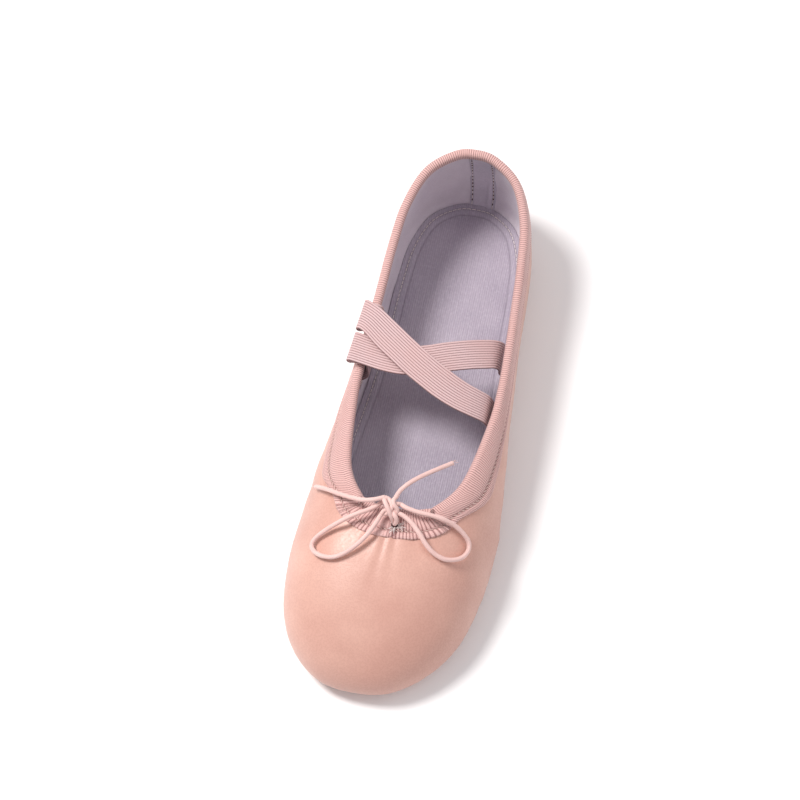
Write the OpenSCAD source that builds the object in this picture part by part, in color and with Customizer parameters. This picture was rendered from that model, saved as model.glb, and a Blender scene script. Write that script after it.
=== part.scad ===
// Soft ballet slipper, one shoe. Toe points along -Y, heel along +Y, +Z is up.
// The origin is on the floor, under the middle of the shoe.

/* [Shoe] */
// Length of the shoe, toe to heel
shoe_len = 240; // [220:1:260]
// Width across the ball of the foot
ball_w = 83; // [76:1:90]
// Height of the topline at the heel, without the binding
heel_h = 54; // [48:1:60]
// How far the toe curves in, to the left
toe_in = 8; // [0:1:10]

/* [Sole] */
// Thickness of the suede outsole patch
outsole_t = 1.6; // [1.2:0.1:2.2]
// Height of the insole board's top face
board_top = 4.0; // [3.6:0.1:4.6]
// Thickness of the foam cushion
foam_t = 1.8; // [1.2:0.1:2.4]
// Thickness of the sock liner
sock_t = 0.8; // [0.6:0.1:1.2]
// Width of the upper's margin, tucked between outsole and board
margin_w = 9; // [7:0.5:11]

/* [Upper] */
// Thickness of the leather
leather_t = 1.2; // [1:0.1:1.4]
// Thickness of the cotton lining
lining_t = 0.6; // [0.4:0.1:0.8]
// Thickness of the heel tape
tape_t = 0.5; // [0.4:0.1:0.8]

/* [Binding and drawcord] */
// Depth of the binding's two legs, down each side of the topline
bind_depth = 10; // [8:0.5:12]
// Thickness of the knitted binding
bind_t = 0.8; // [0.6:0.1:1]
// Diameter of the drawcord where it is stretched inside the binding
casing_cord_d = 1.7; // [1.6:0.1:2]
// Diameter of the free cord in the bow
cord_d = 1.9; // [1.8:0.1:2.4]

/* [Straps] */
// Thickness of the ribbed elastic
strap_t = 1.0; // [0.8:0.1:1]

/* [Forefoot flex] */
// Distance of the flex axis in front of the origin
flex_y = 45; // [42:1:48]
// Backward lean of the cut behind the flex axis, per mm of height
rear_lean = 1.0; // [0.9:0.05:1]
// Forward lean of the cut before the flex axis, per mm of height
fore_lean = 0.14; // [0.1:0.02:0.16]

/* [Hidden] */

hinge_gap = 0.3;         // each cut's distance from the flex axis at the floor
columns_per_station = 2; // how finely the shell is cut round the shoe
board_seat = 2.8;        // underside of the board where it lies on the margin
thread_h = 0.4;          // height of the sole seam on the board
sock_rim_h = 0.5;        // height of the sock liner's raised rim
sock_rim_w = 5.5;        // width of that rim
cut_reach = 200;         // half-size of the blocks that cut the sole layers
floor_drop = 1;          // how far a cutting block reaches past a layer

foam_bottom = board_top + thread_h;
sock_bottom = foam_bottom + foam_t;
sock_top = sock_bottom + sock_t;
wall_t = leather_t + lining_t;
bind_gap = 0.25;                              // air between a binding leg and the wall
bind_mid = -wall_t / 2;                       // middle of the wall, measured from its outside
roll_lift = 1.35;                             // height of the casing's middle over the wall
roll_in_r = wall_t / 2 + bind_gap;            // inside radius of the casing
roll_out_r = roll_in_r + bind_t;              // outside radius of the casing

sx = ball_w / 83;
sy = shoe_len / 240;
sz = heel_h / 54;

// The shoe's middle line curves towards the left from here to the toe
curve_start = 40;
curve_run = 160;
curve_centre = 0.375;    // share of the curve that centres the shoe on the origin again
function curved(p) = let (f = max(curve_start - p[1], 0) / curve_run)
    [p[0] + toe_in * (curve_centre - f * f), p[1], p[2]];

// Places on the two cuts at a height z
function fore_cut(z) = -flex_y - hinge_gap - fore_lean * z;
function rear_cut(z) = -flex_y + hinge_gap + rear_lean * z;
function fore_point(x, z) = [x * sx, fore_cut(z * sz), z * sz];
function rear_point(x, z) = [x * sx, rear_cut(z * sz), z * sz];
function pt(x, y, z) = [x * sx, y * sy, z * sz];

// Stations from toe to heel on the right side.
// Each one holds the widest outline, the topline, the sole edge, and its lean in Y per mm up.
HALF = [
    [pt(0, -120, 9), pt(0, -55, 44), pt(0, -101, 0), 0],
    [pt(15, -117.5, 9), pt(3.5, -54.9, 44), pt(10.5, -98.5, 0), 0],
    [pt(28, -107.5, 9.5), pt(7, -54.5, 43.8), pt(20, -90.5, 0), 0],
    [pt(37, -92, 10), pt(10.2, -53.7, 43.5), pt(28, -77.5, 0), 0],
    [pt(41, -70, 10.5), pt(13.2, -52.6, 43.2), pt(32, -61, 0), 0],
    [fore_point(41.5, 11), fore_point(16.2, 42.8), fore_point(31.5, 1.6), -fore_lean],
    [pt(40.9, -42.4, 11), pt(26.2, -35.6, 40.2), pt(31.3, -44.6, 0), 0.24],
    [rear_point(39.6, 11), rear_point(31, 38.3), rear_point(31, 1.6), rear_lean],
    [pt(36.6, -9, 11.3), pt(31.5, 10, 38.1), pt(26.6, -11, 0), 0.5],
    [pt(34.1, 17, 11.6), pt(30.9, 28, 38.7), pt(23.2, 15, 0), 0.3],
    [pt(32.2, 44, 12), pt(30, 47, 40.1), pt(21.5, 42, 0), 0.1],
    [pt(31.4, 69, 12.4), pt(29, 67, 43), pt(22, 68, 0), 0],
    [pt(29.2, 91, 13), pt(26.8, 86.4, 46.5), pt(21.2, 88, 0), 0],
    [pt(22.2, 108.6, 13.5), pt(20.4, 102.8, 50.5), pt(16, 101.6, 0), 0],
    [pt(10, 118.1, 14), pt(9.4, 111.6, 53.2), pt(8, 107, 0), 0],
    [pt(0, 120, 14), pt(0, 113.5, 54), pt(0, 108.5, 0), 0]
];
HEEL = len(HALF) - 1;
function mirrored(p) = [-p[0], p[1], p[2]];
STATIONS = concat(HALF,
    [for (k = [HEEL - 1 : -1 : 1])
        [mirrored(HALF[k][0]), mirrored(HALF[k][1]), mirrored(HALF[k][2]), HALF[k][3]]]);
STATION_COUNT = len(STATIONS);
COLUMNS = STATION_COUNT * columns_per_station;

// Columns where the shell's pieces meet
COL_FORE_R = 5 * columns_per_station;
COL_REAR_R = 7 * columns_per_station;
COL_HEEL_R = 14 * columns_per_station;
COL_HEEL = HEEL * columns_per_station;
COL_HEEL_L = 16 * columns_per_station;
COL_REAR_L = 23 * columns_per_station;
COL_FORE_L = 25 * columns_per_station;

// Rows of the shell, from the tucked margin up to the topline
ROW_SOLE = 1;
ROW_TAPE = 3;
ROW_BIND = 9;
ROW_BIND_IN = 10;
ROW_TOP = 11;
side_steps = 5;

function unit(v) = v / norm(v);
function mix(a, b, f) = a + (b - a) * f;
function smooth(f) = let (c = min(max(f, 0), 1)) c * c * (3 - 2 * c);
function bezier(a, b, c, d, t) =
    pow(1 - t, 3) * a + 3 * t * pow(1 - t, 2) * b + 3 * t * t * (1 - t) * c + pow(t, 3) * d;
function spline(a, b, c, d, f) =
    0.5 * (2 * b + (c - a) * f + (2 * a - 5 * b + 4 * c - d) * f * f
    + (3 * b - a - 3 * c + d) * f * f * f);
function wrap(i, n) = ((i % n) + n) % n;
function station_value(item, k) = STATIONS[wrap(k, STATION_COUNT)][item];
function between_stations(item, u) = let (k = floor(u))
    spline(station_value(item, k - 1), station_value(item, k),
        station_value(item, k + 1), station_value(item, k + 2), u - k);

// One column of the leather's outside: margin, curve under the foot, then wall to the topline
function column(u) = let (
    outline = between_stations(0, u),
    top = between_stations(1, u),
    sole_raw = between_stations(2, u),
    sole = [sole_raw[0], sole_raw[1], outsole_t],
    lean = [0, between_stations(3, u), 1],
    below = outline - lean * (outline[2] - outsole_t),
    above = outline + lean * (top[2] - outline[2]),
    spread = norm([top[0] - above[0], top[1] - above[1]]),
    shoulder = 0.45 + 0.39 * smooth((spread - 4) / 16),
    pull_up = mix(outline, above, 0.5),
    pull_in = mix(top, mix(outline, above, shoulder), 0.5),
    inward = unit(sole - below),
    flat_end = mix(sole, below, 0.55),
    turn_end = mix(outline, below, 0.55),
    speed = 3 * norm(top - pull_in),
    t_bind = 1 - bind_depth / speed,
    t_half = 1 - bind_depth / 2 / speed)
    concat(
        [sole + inward * margin_w, sole],
        [for (s = [1 / 3, 2 / 3]) bezier(sole, flat_end, turn_end, outline, s)],
        [outline],
        [for (q = [1 : side_steps]) bezier(outline, pull_up, pull_in, top, t_bind * q / side_steps)],
        [bezier(outline, pull_up, pull_in, top, t_half), top]);

OUTSIDE = [for (i = [0 : COLUMNS - 1]) [for (p = column(i / columns_per_station)) curved(p)]];
NORMALS = [for (i = [0 : COLUMNS - 1]) [for (j = [0 : ROW_TOP]) unit(cross(
    OUTSIDE[wrap(i + 1, COLUMNS)][j] - OUTSIDE[wrap(i - 1, COLUMNS)][j],
    OUTSIDE[i][min(j + 1, ROW_TOP)] - OUTSIDE[i][max(j - 1, 0)]))]];
function layer(depth) =
    [for (i = [0 : COLUMNS - 1]) [for (j = [0 : ROW_TOP]) OUTSIDE[i][j] - depth * NORMALS[i][j]]];
LEATHER_INSIDE = layer(leather_t);
LINING_INSIDE = layer(wall_t);
TAPE_INSIDE = layer(wall_t + tape_t);

// The binding's section at a column: n is measured out of the wall, d down from its top
function top_frame(i) = [OUTSIDE[i][ROW_TOP], NORMALS[i][ROW_TOP],
    unit(cross(NORMALS[i][ROW_TOP],
        OUTSIDE[wrap(i + 1, COLUMNS)][ROW_TOP] - OUTSIDE[wrap(i - 1, COLUMNS)][ROW_TOP]))];
function roll_centre(i) = let (f = top_frame(i)) f[0] + bind_mid * f[1] + roll_lift * f[2];
function roll_point(i, r, angle) = let (f = top_frame(i))
    roll_centre(i) + r * (cos(angle) * f[1] + sin(angle) * f[2]);
function binding_skin(r) = [for (i = [0 : COLUMNS - 1]) concat(
    [for (j = [ROW_BIND : ROW_TOP]) OUTSIDE[i][j] + (r + bind_mid) * NORMALS[i][j]],
    [for (a = [0 : 45 : 180]) roll_point(i, r, a)],
    [for (j = [ROW_TOP : -1 : ROW_BIND_IN]) OUTSIDE[i][j] - (r - bind_mid) * NORMALS[i][j]])];
BINDING_OUT = binding_skin(roll_out_r);
BINDING_IN = binding_skin(roll_in_r);
BINDING_ROWS = len(BINDING_OUT[0]) - 1;

// A solid between two skins, for columns c0 to c1 and rows r0 to r1
module shell(outer, inner, c0, c1, r0, r1) {
    nc = c1 - c0 + 1;
    nr = r1 - r0 + 1;
    half = nc * nr;
    points = [for (skin = [outer, inner]) for (i = [c0 : c1]) for (j = [r0 : r1])
        skin[wrap(i, COLUMNS)][j]];
    function at(i, j) = i * nr + j;
    function left_side(i) = wrap(c0 + i, COLUMNS) >= COL_HEEL;
    // Each cell is cut along one diagonal, which is mirrored from side to side
    function cell(i, j) = left_side(i)
        ? [at(i + 1, j), at(i, j), at(i, j + 1), at(i + 1, j + 1)]
        : [at(i, j), at(i, j + 1), at(i + 1, j + 1), at(i + 1, j)];
    faces = concat(
        [for (i = [0 : nc - 2]) for (j = [0 : nr - 2]) let (c = cell(i, j)) for (f = [
            [c[0], c[1], c[2]], [c[0], c[2], c[3]]]) each [f, [for (k = [2, 1, 0]) half + f[k]]]],
        [for (i = [0 : nc - 2]) for (f = [
            [at(i, 0), at(i + 1, 0), half + at(i + 1, 0)],
            [at(i, 0), half + at(i + 1, 0), half + at(i, 0)],
            [at(i, nr - 1), half + at(i + 1, nr - 1), at(i + 1, nr - 1)],
            [at(i, nr - 1), half + at(i, nr - 1), half + at(i + 1, nr - 1)]]) f],
        [for (j = [0 : nr - 2]) for (f = [
            [at(0, j), half + at(0, j + 1), at(0, j + 1)],
            [at(0, j), half + at(0, j), half + at(0, j + 1)],
            [at(nc - 1, j), at(nc - 1, j + 1), half + at(nc - 1, j + 1)],
            [at(nc - 1, j), half + at(nc - 1, j + 1), half + at(nc - 1, j)]]) f]);
    polyhedron(points, faces, convexity = 8);
}

// A round tube along a list of points, closed into a ring or open with flat ends.
// An open one's points are given on the straight shoe, and are curved with it.
tube_sides = 8;
module tube(line, d, closed = false) {
    path = closed ? line : [for (p = line) curved(p)];
    n = len(path);
    function along(i) = closed
        ? unit(path[wrap(i + 1, n)] - path[wrap(i - 1, n)])
        : unit(path[min(i + 1, n - 1)] - path[max(i - 1, 0)]);
    function side(i) = let (a = along(i), ref = abs(a[2]) > 0.9 ? [1, 0, 0] : [0, 0, 1])
        unit(cross(a, ref));
    points = [for (i = [0 : n - 1]) let (s = side(i), t = cross(s, along(i)))
        for (k = [0 : tube_sides - 1])
            path[i] + d / 2 * (cos(k * 360 / tube_sides) * s + sin(k * 360 / tube_sides) * t)];
    function at(i, k) = wrap(i, n) * tube_sides + wrap(k, tube_sides);
    spans = closed ? n - 1 : n - 2;
    walls = [for (i = [0 : spans]) for (k = [0 : tube_sides - 1]) for (f = [
        [at(i, k), at(i + 1, k + 1), at(i, k + 1)],
        [at(i, k), at(i + 1, k), at(i + 1, k + 1)]]) f];
    caps = closed ? [] : [[for (k = [0 : tube_sides - 1]) at(0, k)],
        [for (k = [tube_sides - 1 : -1 : 0]) at(n - 1, k)]];
    polyhedron(points, concat(walls, caps), convexity = 8);
}

// A flat band between two edges, given as pairs of points: the edge nearer the heel comes first
module band(edges, t) {
    rows = [for (e = edges) [curved(e[0]), curved(e[1])]];
    n = len(rows);
    function middle(i) = mix(rows[i][0], rows[i][1], 0.5);
    function up(i) = unit(cross(middle(min(i + 1, n - 1)) - middle(max(i - 1, 0)),
        rows[i][0] - rows[i][1]));
    points = [for (i = [0 : n - 1]) for (h = [t / 2, -t / 2]) for (e = [0, 1])
        rows[i][e] + h * up(i)];
    ring = [0, 1, 3, 2];
    walls = [for (i = [0 : n - 2]) for (k = [0 : 3]) let (
        a = 4 * i + ring[k], b = 4 * i + ring[(k + 1) % 4]) for (f = [
        [a, a + 4, b + 4], [a, b + 4, b]]) f];
    caps = [[0, 1, 3], [0, 3, 2], [4 * n - 4, 4 * n - 1, 4 * n - 3], [4 * n - 4, 4 * n - 2, 4 * n - 1]];
    polyhedron(points, concat(walls, caps), convexity = 8);
}

// The sole edge moved inwards by a distance, as a flat outline
function sole_outline(inset) = [for (i = [0 : COLUMNS - 1]) let (
    edge = OUTSIDE[i][ROW_SOLE],
    inward = unit(OUTSIDE[i][0] - edge)) [for (a = [0, 1]) edge[a] + inset * inward[a]]];
module sole_layer(inset, z0, z1) {
    translate([0, 0, z0]) linear_extrude(z1 - z0) polygon(sole_outline(inset));
}
module sole_ring(inset, w, z0, z1) {
    translate([0, 0, z0]) linear_extrude(z1 - z0) difference() {
        polygon(sole_outline(inset));
        polygon(sole_outline(inset + w));
    }
}
// Keep what lies before the front cut, or behind the rear cut, of a layer that ends at z
module fore_half(z) {
    intersection() {
        children();
        translate([-cut_reach, fore_cut(z) - 2 * cut_reach, -floor_drop])
            cube([2 * cut_reach, 2 * cut_reach, 50]);
    }
}
module rear_half(z) {
    intersection() {
        children();
        translate([-cut_reach, rear_cut(z), -floor_drop]) cube([2 * cut_reach, 2 * cut_reach, 50]);
    }
}

// Insets of the sole layers from the patch edge
board_inset = 0.8;
sock_inset = 1.4;
foam_inset = 2.4;
plug_inset = margin_w + 0.6;
thread_inset = 5;
thread_w = 1;
module outsole() {
    sole_layer(0, 0, outsole_t);
}
module insole_board() {
    sole_layer(board_inset, board_seat, board_top);
    sole_layer(plug_inset, outsole_t, board_seat);
}
module sole_thread() {
    sole_ring(thread_inset, thread_w, board_top, foam_bottom);
}
module foam() {
    sole_layer(foam_inset, foam_bottom, sock_bottom);
}
module sock_liner() {
    sole_layer(sock_inset, sock_bottom, sock_top);
    sole_ring(sock_inset, sock_rim_w, sock_top, sock_top + sock_rim_h);
}
module outsole_forefoot() { color("tan") fore_half(outsole_t) outsole(); }
module outsole_rear() { color("tan") rear_half(outsole_t) outsole(); }
module insole_board_forefoot() { color("burlywood") fore_half(board_top) insole_board(); }
module insole_board_rear() { color("burlywood") rear_half(board_top) insole_board(); }
module sole_thread_forefoot() { color("linen") fore_half(foam_bottom) sole_thread(); }
module sole_thread_rear() { color("linen") rear_half(foam_bottom) sole_thread(); }
module foam_forefoot() { color("whitesmoke") fore_half(sock_bottom) foam(); }
module foam_rear() { color("whitesmoke") rear_half(sock_bottom) foam(); }
module sock_liner_forefoot() { color("lavender") fore_half(sock_top + sock_rim_h) sock_liner(); }
module sock_liner_rear() { color("lavender") rear_half(sock_top + sock_rim_h) sock_liner(); }
module insole_flex() {
    color("lavender") difference() {
        sole_layer(foam_inset, foam_bottom, sock_top);
        translate([-cut_reach, fore_cut(sock_bottom) - 2 * cut_reach, -floor_drop])
            cube([2 * cut_reach, 2 * cut_reach, 50]);
        translate([-cut_reach, rear_cut(sock_bottom), -floor_drop])
            cube([2 * cut_reach, 2 * cut_reach, 50]);
    }
}

// Leather
module leather(c0, c1) {
    color("lightpink") shell(OUTSIDE, LEATHER_INSIDE, c0, c1, 0, ROW_TOP);
}
module vamp() { leather(COL_FORE_L - COLUMNS, COL_FORE_R); }
module upper_flex_right() { leather(COL_FORE_R, COL_REAR_R); }
module upper_flex_left() { leather(COL_REAR_L, COL_FORE_L); }
module quarter_right() { leather(COL_REAR_R, COL_HEEL_R); }
module quarter_left() { leather(COL_HEEL_L, COL_REAR_L); }
module heel_strip() { leather(COL_HEEL_R, COL_HEEL_L); }

// Cotton lining, and the tape over its heel seam
module lining(c0, c1) {
    color("thistle") shell(LEATHER_INSIDE, LINING_INSIDE, c0, c1, ROW_SOLE, ROW_TOP);
}
module toe_lining() { lining(COL_FORE_L - COLUMNS, COL_FORE_R); }
module lining_flex_right() { lining(COL_FORE_R, COL_REAR_R); }
module lining_flex_left() { lining(COL_REAR_L, COL_FORE_L); }
module lining_right() { lining(COL_REAR_R, COL_HEEL); }
module lining_left() { lining(COL_HEEL, COL_REAR_L); }
module heel_tape() {
    color("lavender") shell(LINING_INSIDE, TAPE_INSIDE, COL_HEEL - 1, COL_HEEL + 1, ROW_TAPE, ROW_BIND);
}

// Binding, and the drawcord that runs the whole way round inside it
module binding(c0, c1) {
    color("pink") shell(BINDING_OUT, BINDING_IN, c0, c1, 0, BINDING_ROWS);
}
module binding_throat() { binding(COL_FORE_L - COLUMNS, COL_FORE_R); }
module binding_flex_right() { binding(COL_FORE_R, COL_REAR_R); }
module binding_flex_left() { binding(COL_REAR_L, COL_FORE_L); }
module binding_rear() { binding(COL_REAR_R, COL_REAR_L); }
module drawcord() {
    color("mistyrose") tube([for (i = [0 : COLUMNS - 1]) roll_centre(i)], casing_cord_d, closed = true);
}

// Bow: the knot, two loops and two free ends
knot_at = [-1.6, -53.9, 48.8];
knot_r = 2.4;
knot_foot = 45.5;
LOOP_LEFT = [
    [-5.4, -52.5, 48.8], [-7.6, -54.9, 49], [-10.4, -57, 48.9], [-13.9, -58.9, 48.2],
    [-18, -61.1, 46.2], [-22.2, -63.4, 43.2], [-25.8, -65.7, 40.2], [-28.7, -68.1, 37.5],
    [-29.7, -70.8, 36.3], [-27.9, -73.7, 37], [-24, -75.7, 38.7], [-19.6, -76, 40.2],
    [-15.8, -74.6, 41.8], [-12.4, -71.9, 43.4], [-9.4, -68.5, 45], [-7, -64.7, 46.7],
    [-5.4, -61, 47.8], [-4.3, -57.4, 48.4]
];
LOOP_RIGHT = [
    [2.2, -51.9, 48.8], [5.2, -53.2, 49.2], [9.9, -53.9, 48.8], [14.8, -54, 48.2],
    [19.7, -54, 46.5], [24.4, -54.3, 43.2], [28.4, -55.6, 39.7], [31.3, -57.5, 36.6],
    [32.2, -60.5, 35.2], [30.9, -64.4, 36], [27.9, -67.1, 38], [24.1, -68.3, 40],
    [19.8, -67.4, 41.9], [15.9, -65, 44], [12.4, -61.8, 46.2], [8.6, -58.6, 47.6],
    [5, -56.6, 48.4], [2.4, -55.7, 48.6]
];
END_LEFT = [
    [-4.4, -51, 51.2], [-8.6, -53.1, 51.7], [-12.9, -53.5, 50.5], [-17.4, -52.6, 48.6],
    [-22, -51.1, 46.1], [-26.5, -49.1, 43], [-30.4, -47.2, 39.7], [-33.5, -45.6, 36.3],
    [-35.6, -44.4, 33.4]
];
END_RIGHT = [
    [-0.2, -50.3, 50.8], [1.2, -47.4, 52.6], [3.9, -44, 53.2], [7, -40.6, 52.6],
    [10.3, -37.2, 51.2], [13.6, -33.8, 49.4], [16.9, -30.3, 47.2], [18, -29, 46.3]
];
module bow_knot() {
    color("mistyrose") union() {
        translate(curved(knot_at)) sphere(knot_r, $fn = 32);
        translate(curved([knot_at[0], knot_at[1], knot_foot]))
            cylinder(h = knot_at[2] - knot_foot, d = cord_d, $fn = 24);
    }
}
module bow_loop_left() { color("mistyrose") tube(LOOP_LEFT, cord_d); }
module bow_loop_right() { color("mistyrose") tube(LOOP_RIGHT, cord_d); }
module cord_end_left() { color("mistyrose") tube(END_LEFT, cord_d); }
module cord_end_right() { color("mistyrose") tube(END_RIGHT, cord_d); }

// Straps. Each row is a pair of points: the edge nearer the heel, then the edge nearer the toe.
STRAP_FRONT_LEFT = [
    [[-29.7, 38.9, 17], [-30.3, 25.3, 17]], [[-29.5, 38.9, 24], [-30.1, 25.3, 24]],
    [[-26.5, 38.7, 31], [-26.9, 25.1, 30]], [[-26.3, 38.7, 38], [-26.9, 25.1, 37]],
    [[-26.6, 38.5, 42.3], [-27.1, 24.9, 41.7]], [[-28.9, 38.5, 44.3], [-29.7, 24.9, 43.7]],
    [[-31.4, 38.5, 44.4], [-32.5, 24.9, 43.7]], [[-32.7, 38.5, 43.9], [-33.8, 24.9, 43.1]]
];
STRAP_FRONT_SPAN = [
    [[-32.7, 38.5, 45.8], [-34.1, 24.9, 45.1]], [[-26.2, 34.7, 47.2], [-31, 22.6, 47]],
    [[-18.6, 29.2, 47.4], [-24.4, 17.1, 47.1]], [[-11.4, 24, 47.3], [-17.6, 12.2, 47.2]],
    [[-4.4, 19.2, 47], [-10.6, 7.3, 47]], [[2.6, 15, 46.2], [-3.4, 3.1, 46.4]],
    [[9.4, 11.6, 44.9], [4.2, -0.8, 45.3]], [[15.6, 9.2, 43.1], [12.2, -3.6, 43.8]],
    [[21, 8, 40.8], [19.4, -4.9, 41.9]], [[25.2, 7.6, 37.8], [25, -5.2, 38.8]],
    [[27.2, 7.6, 33.4], [27.3, -5.2, 34.2]]
];
STRAP_FRONT_RIGHT = [
    [[27.3, 7.6, 32.6], [27.4, -5.2, 33.4]], [[27.8, 7.6, 29.4], [28.1, -5.2, 29.6]],
    [[30.9, 7.6, 24], [31.8, -5.2, 24]], [[31.5, 7.6, 17], [32.6, -5.2, 17]]
];
STRAP_BACK_LEFT = [
    [[-30.7, 23.8, 17], [-31.6, 10.2, 17]], [[-30.5, 23.8, 24], [-31.4, 10.2, 24]],
    [[-27.1, 23.8, 30], [-27.5, 10.2, 30]], [[-27, 23.8, 37], [-27.2, 10.2, 36.8]],
    [[-27.3, 23.6, 41.5], [-27.5, 10, 41.2]], [[-29.8, 23.6, 43.3], [-30.2, 10, 43]],
    [[-32.5, 23.6, 43.3], [-32.9, 10, 43]], [[-33.8, 23.6, 42.7], [-34.4, 10, 42.4]]
];
STRAP_BACK_SPAN = [
    [[-33.8, 23.3, 44.6], [-34.8, 9.9, 44.2]], [[-27.2, 21.7, 45], [-28.6, 8.7, 44.9]],
    [[-19.2, 20.6, 45.3], [-19.9, 7.2, 45.2]], [[-11.8, 20.5, 45.2], [-10.9, 7.1, 45.1]],
    [[-4.4, 22.5, 44.6], [-0.4, 9.7, 44.5]], [[3.2, 25.9, 43.5], [8.2, 13.5, 43]],
    [[11, 29.3, 41.7], [15.8, 16.8, 41]], [[17.6, 32.1, 39.3], [21.4, 19.3, 38.7]],
    [[23.2, 34.4, 36.4], [25, 21.3, 36.2]], [[26.3, 35.4, 33.4], [26.8, 22.2, 33]]
];
STRAP_BACK_RIGHT = [
    [[26.4, 35.4, 32.6], [26.9, 22.2, 32.2]], [[26.6, 35.4, 29.4], [27.1, 22.2, 29.2]],
    [[29.4, 35.4, 24], [30.2, 22.2, 24]], [[29.6, 35.4, 17], [30.6, 22.2, 17]]
];
module strap_front_left_end() { color("pink") band(STRAP_FRONT_LEFT, strap_t); }
module strap_front_right_end() { color("pink") band(STRAP_FRONT_RIGHT, strap_t); }
module strap_back_left_end() { color("pink") band(STRAP_BACK_LEFT, strap_t); }
module strap_back_right_end() { color("pink") band(STRAP_BACK_RIGHT, strap_t); }
module strap_front_span() { color("lightpink") band(STRAP_FRONT_SPAN, strap_t); }
module strap_back_span() { color("lightpink") band(STRAP_BACK_SPAN, strap_t); }

// Tacks: a sewn bar across the low end of each strap, on the side away from the wall
tack_size = [0.4, 10, 1.2];
tack_z = 20;
tack_off = 0.95;
// Each one holds the strap's middle there in X and Y, and its turn about Z
TACKS = [[-29.91, 32.1, -2.5], [-31.06, 17, -3.8], [31.75, 1.2, 4.5], [29.97, 28.8, 4]];
module strap_stitching() {
    color("linen") for (p = TACKS)
        translate(curved([p[0] - sign(p[0]) * tack_off, p[1], tack_z]))
            rotate([0, 0, p[2]]) cube(tack_size, center = true);
}

outsole_forefoot();
insole_board_forefoot();
sole_thread_forefoot();
foam_forefoot();
sock_liner_forefoot();
vamp();
toe_lining();
binding_throat();
bow_knot();
outsole_rear();
insole_board_rear();
sole_thread_rear();
foam_rear();
sock_liner_rear();
quarter_right();
quarter_left();
heel_strip();
lining_right();
lining_left();
heel_tape();
binding_rear();
drawcord();
insole_flex();
upper_flex_right();
upper_flex_left();
lining_flex_right();
lining_flex_left();
binding_flex_right();
binding_flex_left();
strap_front_left_end();
strap_front_right_end();
strap_back_left_end();
strap_back_right_end();
strap_stitching();
strap_front_span();
strap_back_span();
bow_loop_left();
bow_loop_right();
cord_end_left();
cord_end_right();
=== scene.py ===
"""Looks of a soft ballet slipper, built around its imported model. Toe along -Y, heel along +Y."""
import math

import bmesh
import bpy
import numpy as np
from mathutils import Matrix


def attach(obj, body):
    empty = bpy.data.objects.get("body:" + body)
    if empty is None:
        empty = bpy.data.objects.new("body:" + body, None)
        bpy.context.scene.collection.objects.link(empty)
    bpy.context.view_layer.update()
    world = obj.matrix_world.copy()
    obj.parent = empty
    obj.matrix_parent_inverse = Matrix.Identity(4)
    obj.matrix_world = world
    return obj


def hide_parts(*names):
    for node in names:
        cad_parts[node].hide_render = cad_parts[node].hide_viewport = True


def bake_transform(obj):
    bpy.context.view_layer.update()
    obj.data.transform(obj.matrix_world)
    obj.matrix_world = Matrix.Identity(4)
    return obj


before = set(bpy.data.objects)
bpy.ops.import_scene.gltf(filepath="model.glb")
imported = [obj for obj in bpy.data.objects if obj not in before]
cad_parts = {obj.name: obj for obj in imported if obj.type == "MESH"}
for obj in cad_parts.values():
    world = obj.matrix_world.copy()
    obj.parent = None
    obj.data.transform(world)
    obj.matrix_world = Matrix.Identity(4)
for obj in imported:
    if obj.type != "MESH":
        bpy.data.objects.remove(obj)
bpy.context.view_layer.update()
MM = 0.001

# ---- camera
CAM_AZIMUTH, CAM_ELEVATION, CAM_ROLL = math.radians(14.02), math.radians(64.27), math.radians(-2.93)
CAM_DISTANCE = 0.9
CAM_TARGET = np.array([-10.17, 7.09, 20.0]) * MM
PX_PER_MM = 2.348
SENSOR_MM, FRAME_PX = 36.0, 800


def placed(x, y, z, at):
    """The matrix of an object whose axes are x, y and z, at a place."""
    matrix = np.eye(4)
    matrix[:3] = np.stack([x, y, z, at], 1)
    return Matrix(matrix.tolist())


def new_object(name, data):
    obj = bpy.data.objects.new(name, data)
    bpy.context.scene.collection.objects.link(obj)
    return obj


def make_camera():
    ca, sa = math.cos(CAM_AZIMUTH), math.sin(CAM_AZIMUTH)
    ce, se = math.cos(CAM_ELEVATION), math.sin(CAM_ELEVATION)
    cr, sr = math.cos(CAM_ROLL), math.sin(CAM_ROLL)
    back = np.array([sa * ce, -ca * ce, se])
    right = np.array([ca, sa, 0.0])
    up = np.cross(back, right)
    data = bpy.data.cameras.new("camera")
    data.sensor_width = SENSOR_MM
    data.lens = PX_PER_MM * CAM_DISTANCE / MM / FRAME_PX * SENSOR_MM
    data.clip_start, data.clip_end = 0.01, 20
    camera = new_object("camera", data)
    camera.matrix_world = placed(cr * right + sr * up, cr * up - sr * right, back,
                                 CAM_TARGET + back * CAM_DISTANCE)
    bpy.context.scene.camera = camera


make_camera()


# ---- small helpers
SPLINE_STEPS = 24


def unit(v):
    return v / np.maximum(np.linalg.norm(v, axis=-1, keepdims=True), 1e-12)


def mix(a, b, f):
    return a + (b - a) * f


def smooth(f):
    c = np.clip(f, 0, 1)
    return c * c * (3 - 2 * c)


def spans(*parts):
    """Even values over spans that follow each other, each given as start, stop and count."""
    return np.concatenate([np.linspace(*part)[:-1] for part in parts[:-1]] + [np.linspace(*parts[-1])])


def hump(x, centre, width):
    """A round bump of height 1 about centre."""
    return np.exp(-(((x - centre) / width) ** 2))


def ripples(p, size, seed, waves=9):
    """Soft random relief over the points p (mm), about -1 to 1, with features size mm across."""
    draw = np.random.default_rng(seed)
    total = np.zeros(p.shape[:-1])
    for _ in range(waves):
        way = unit(draw.normal(size=3)) * (2 * math.pi / size) * draw.uniform(0.6, 1.4)
        total = total + np.sin(p @ way + draw.uniform(0, 6.28))
    return total / math.sqrt(waves)


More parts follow.
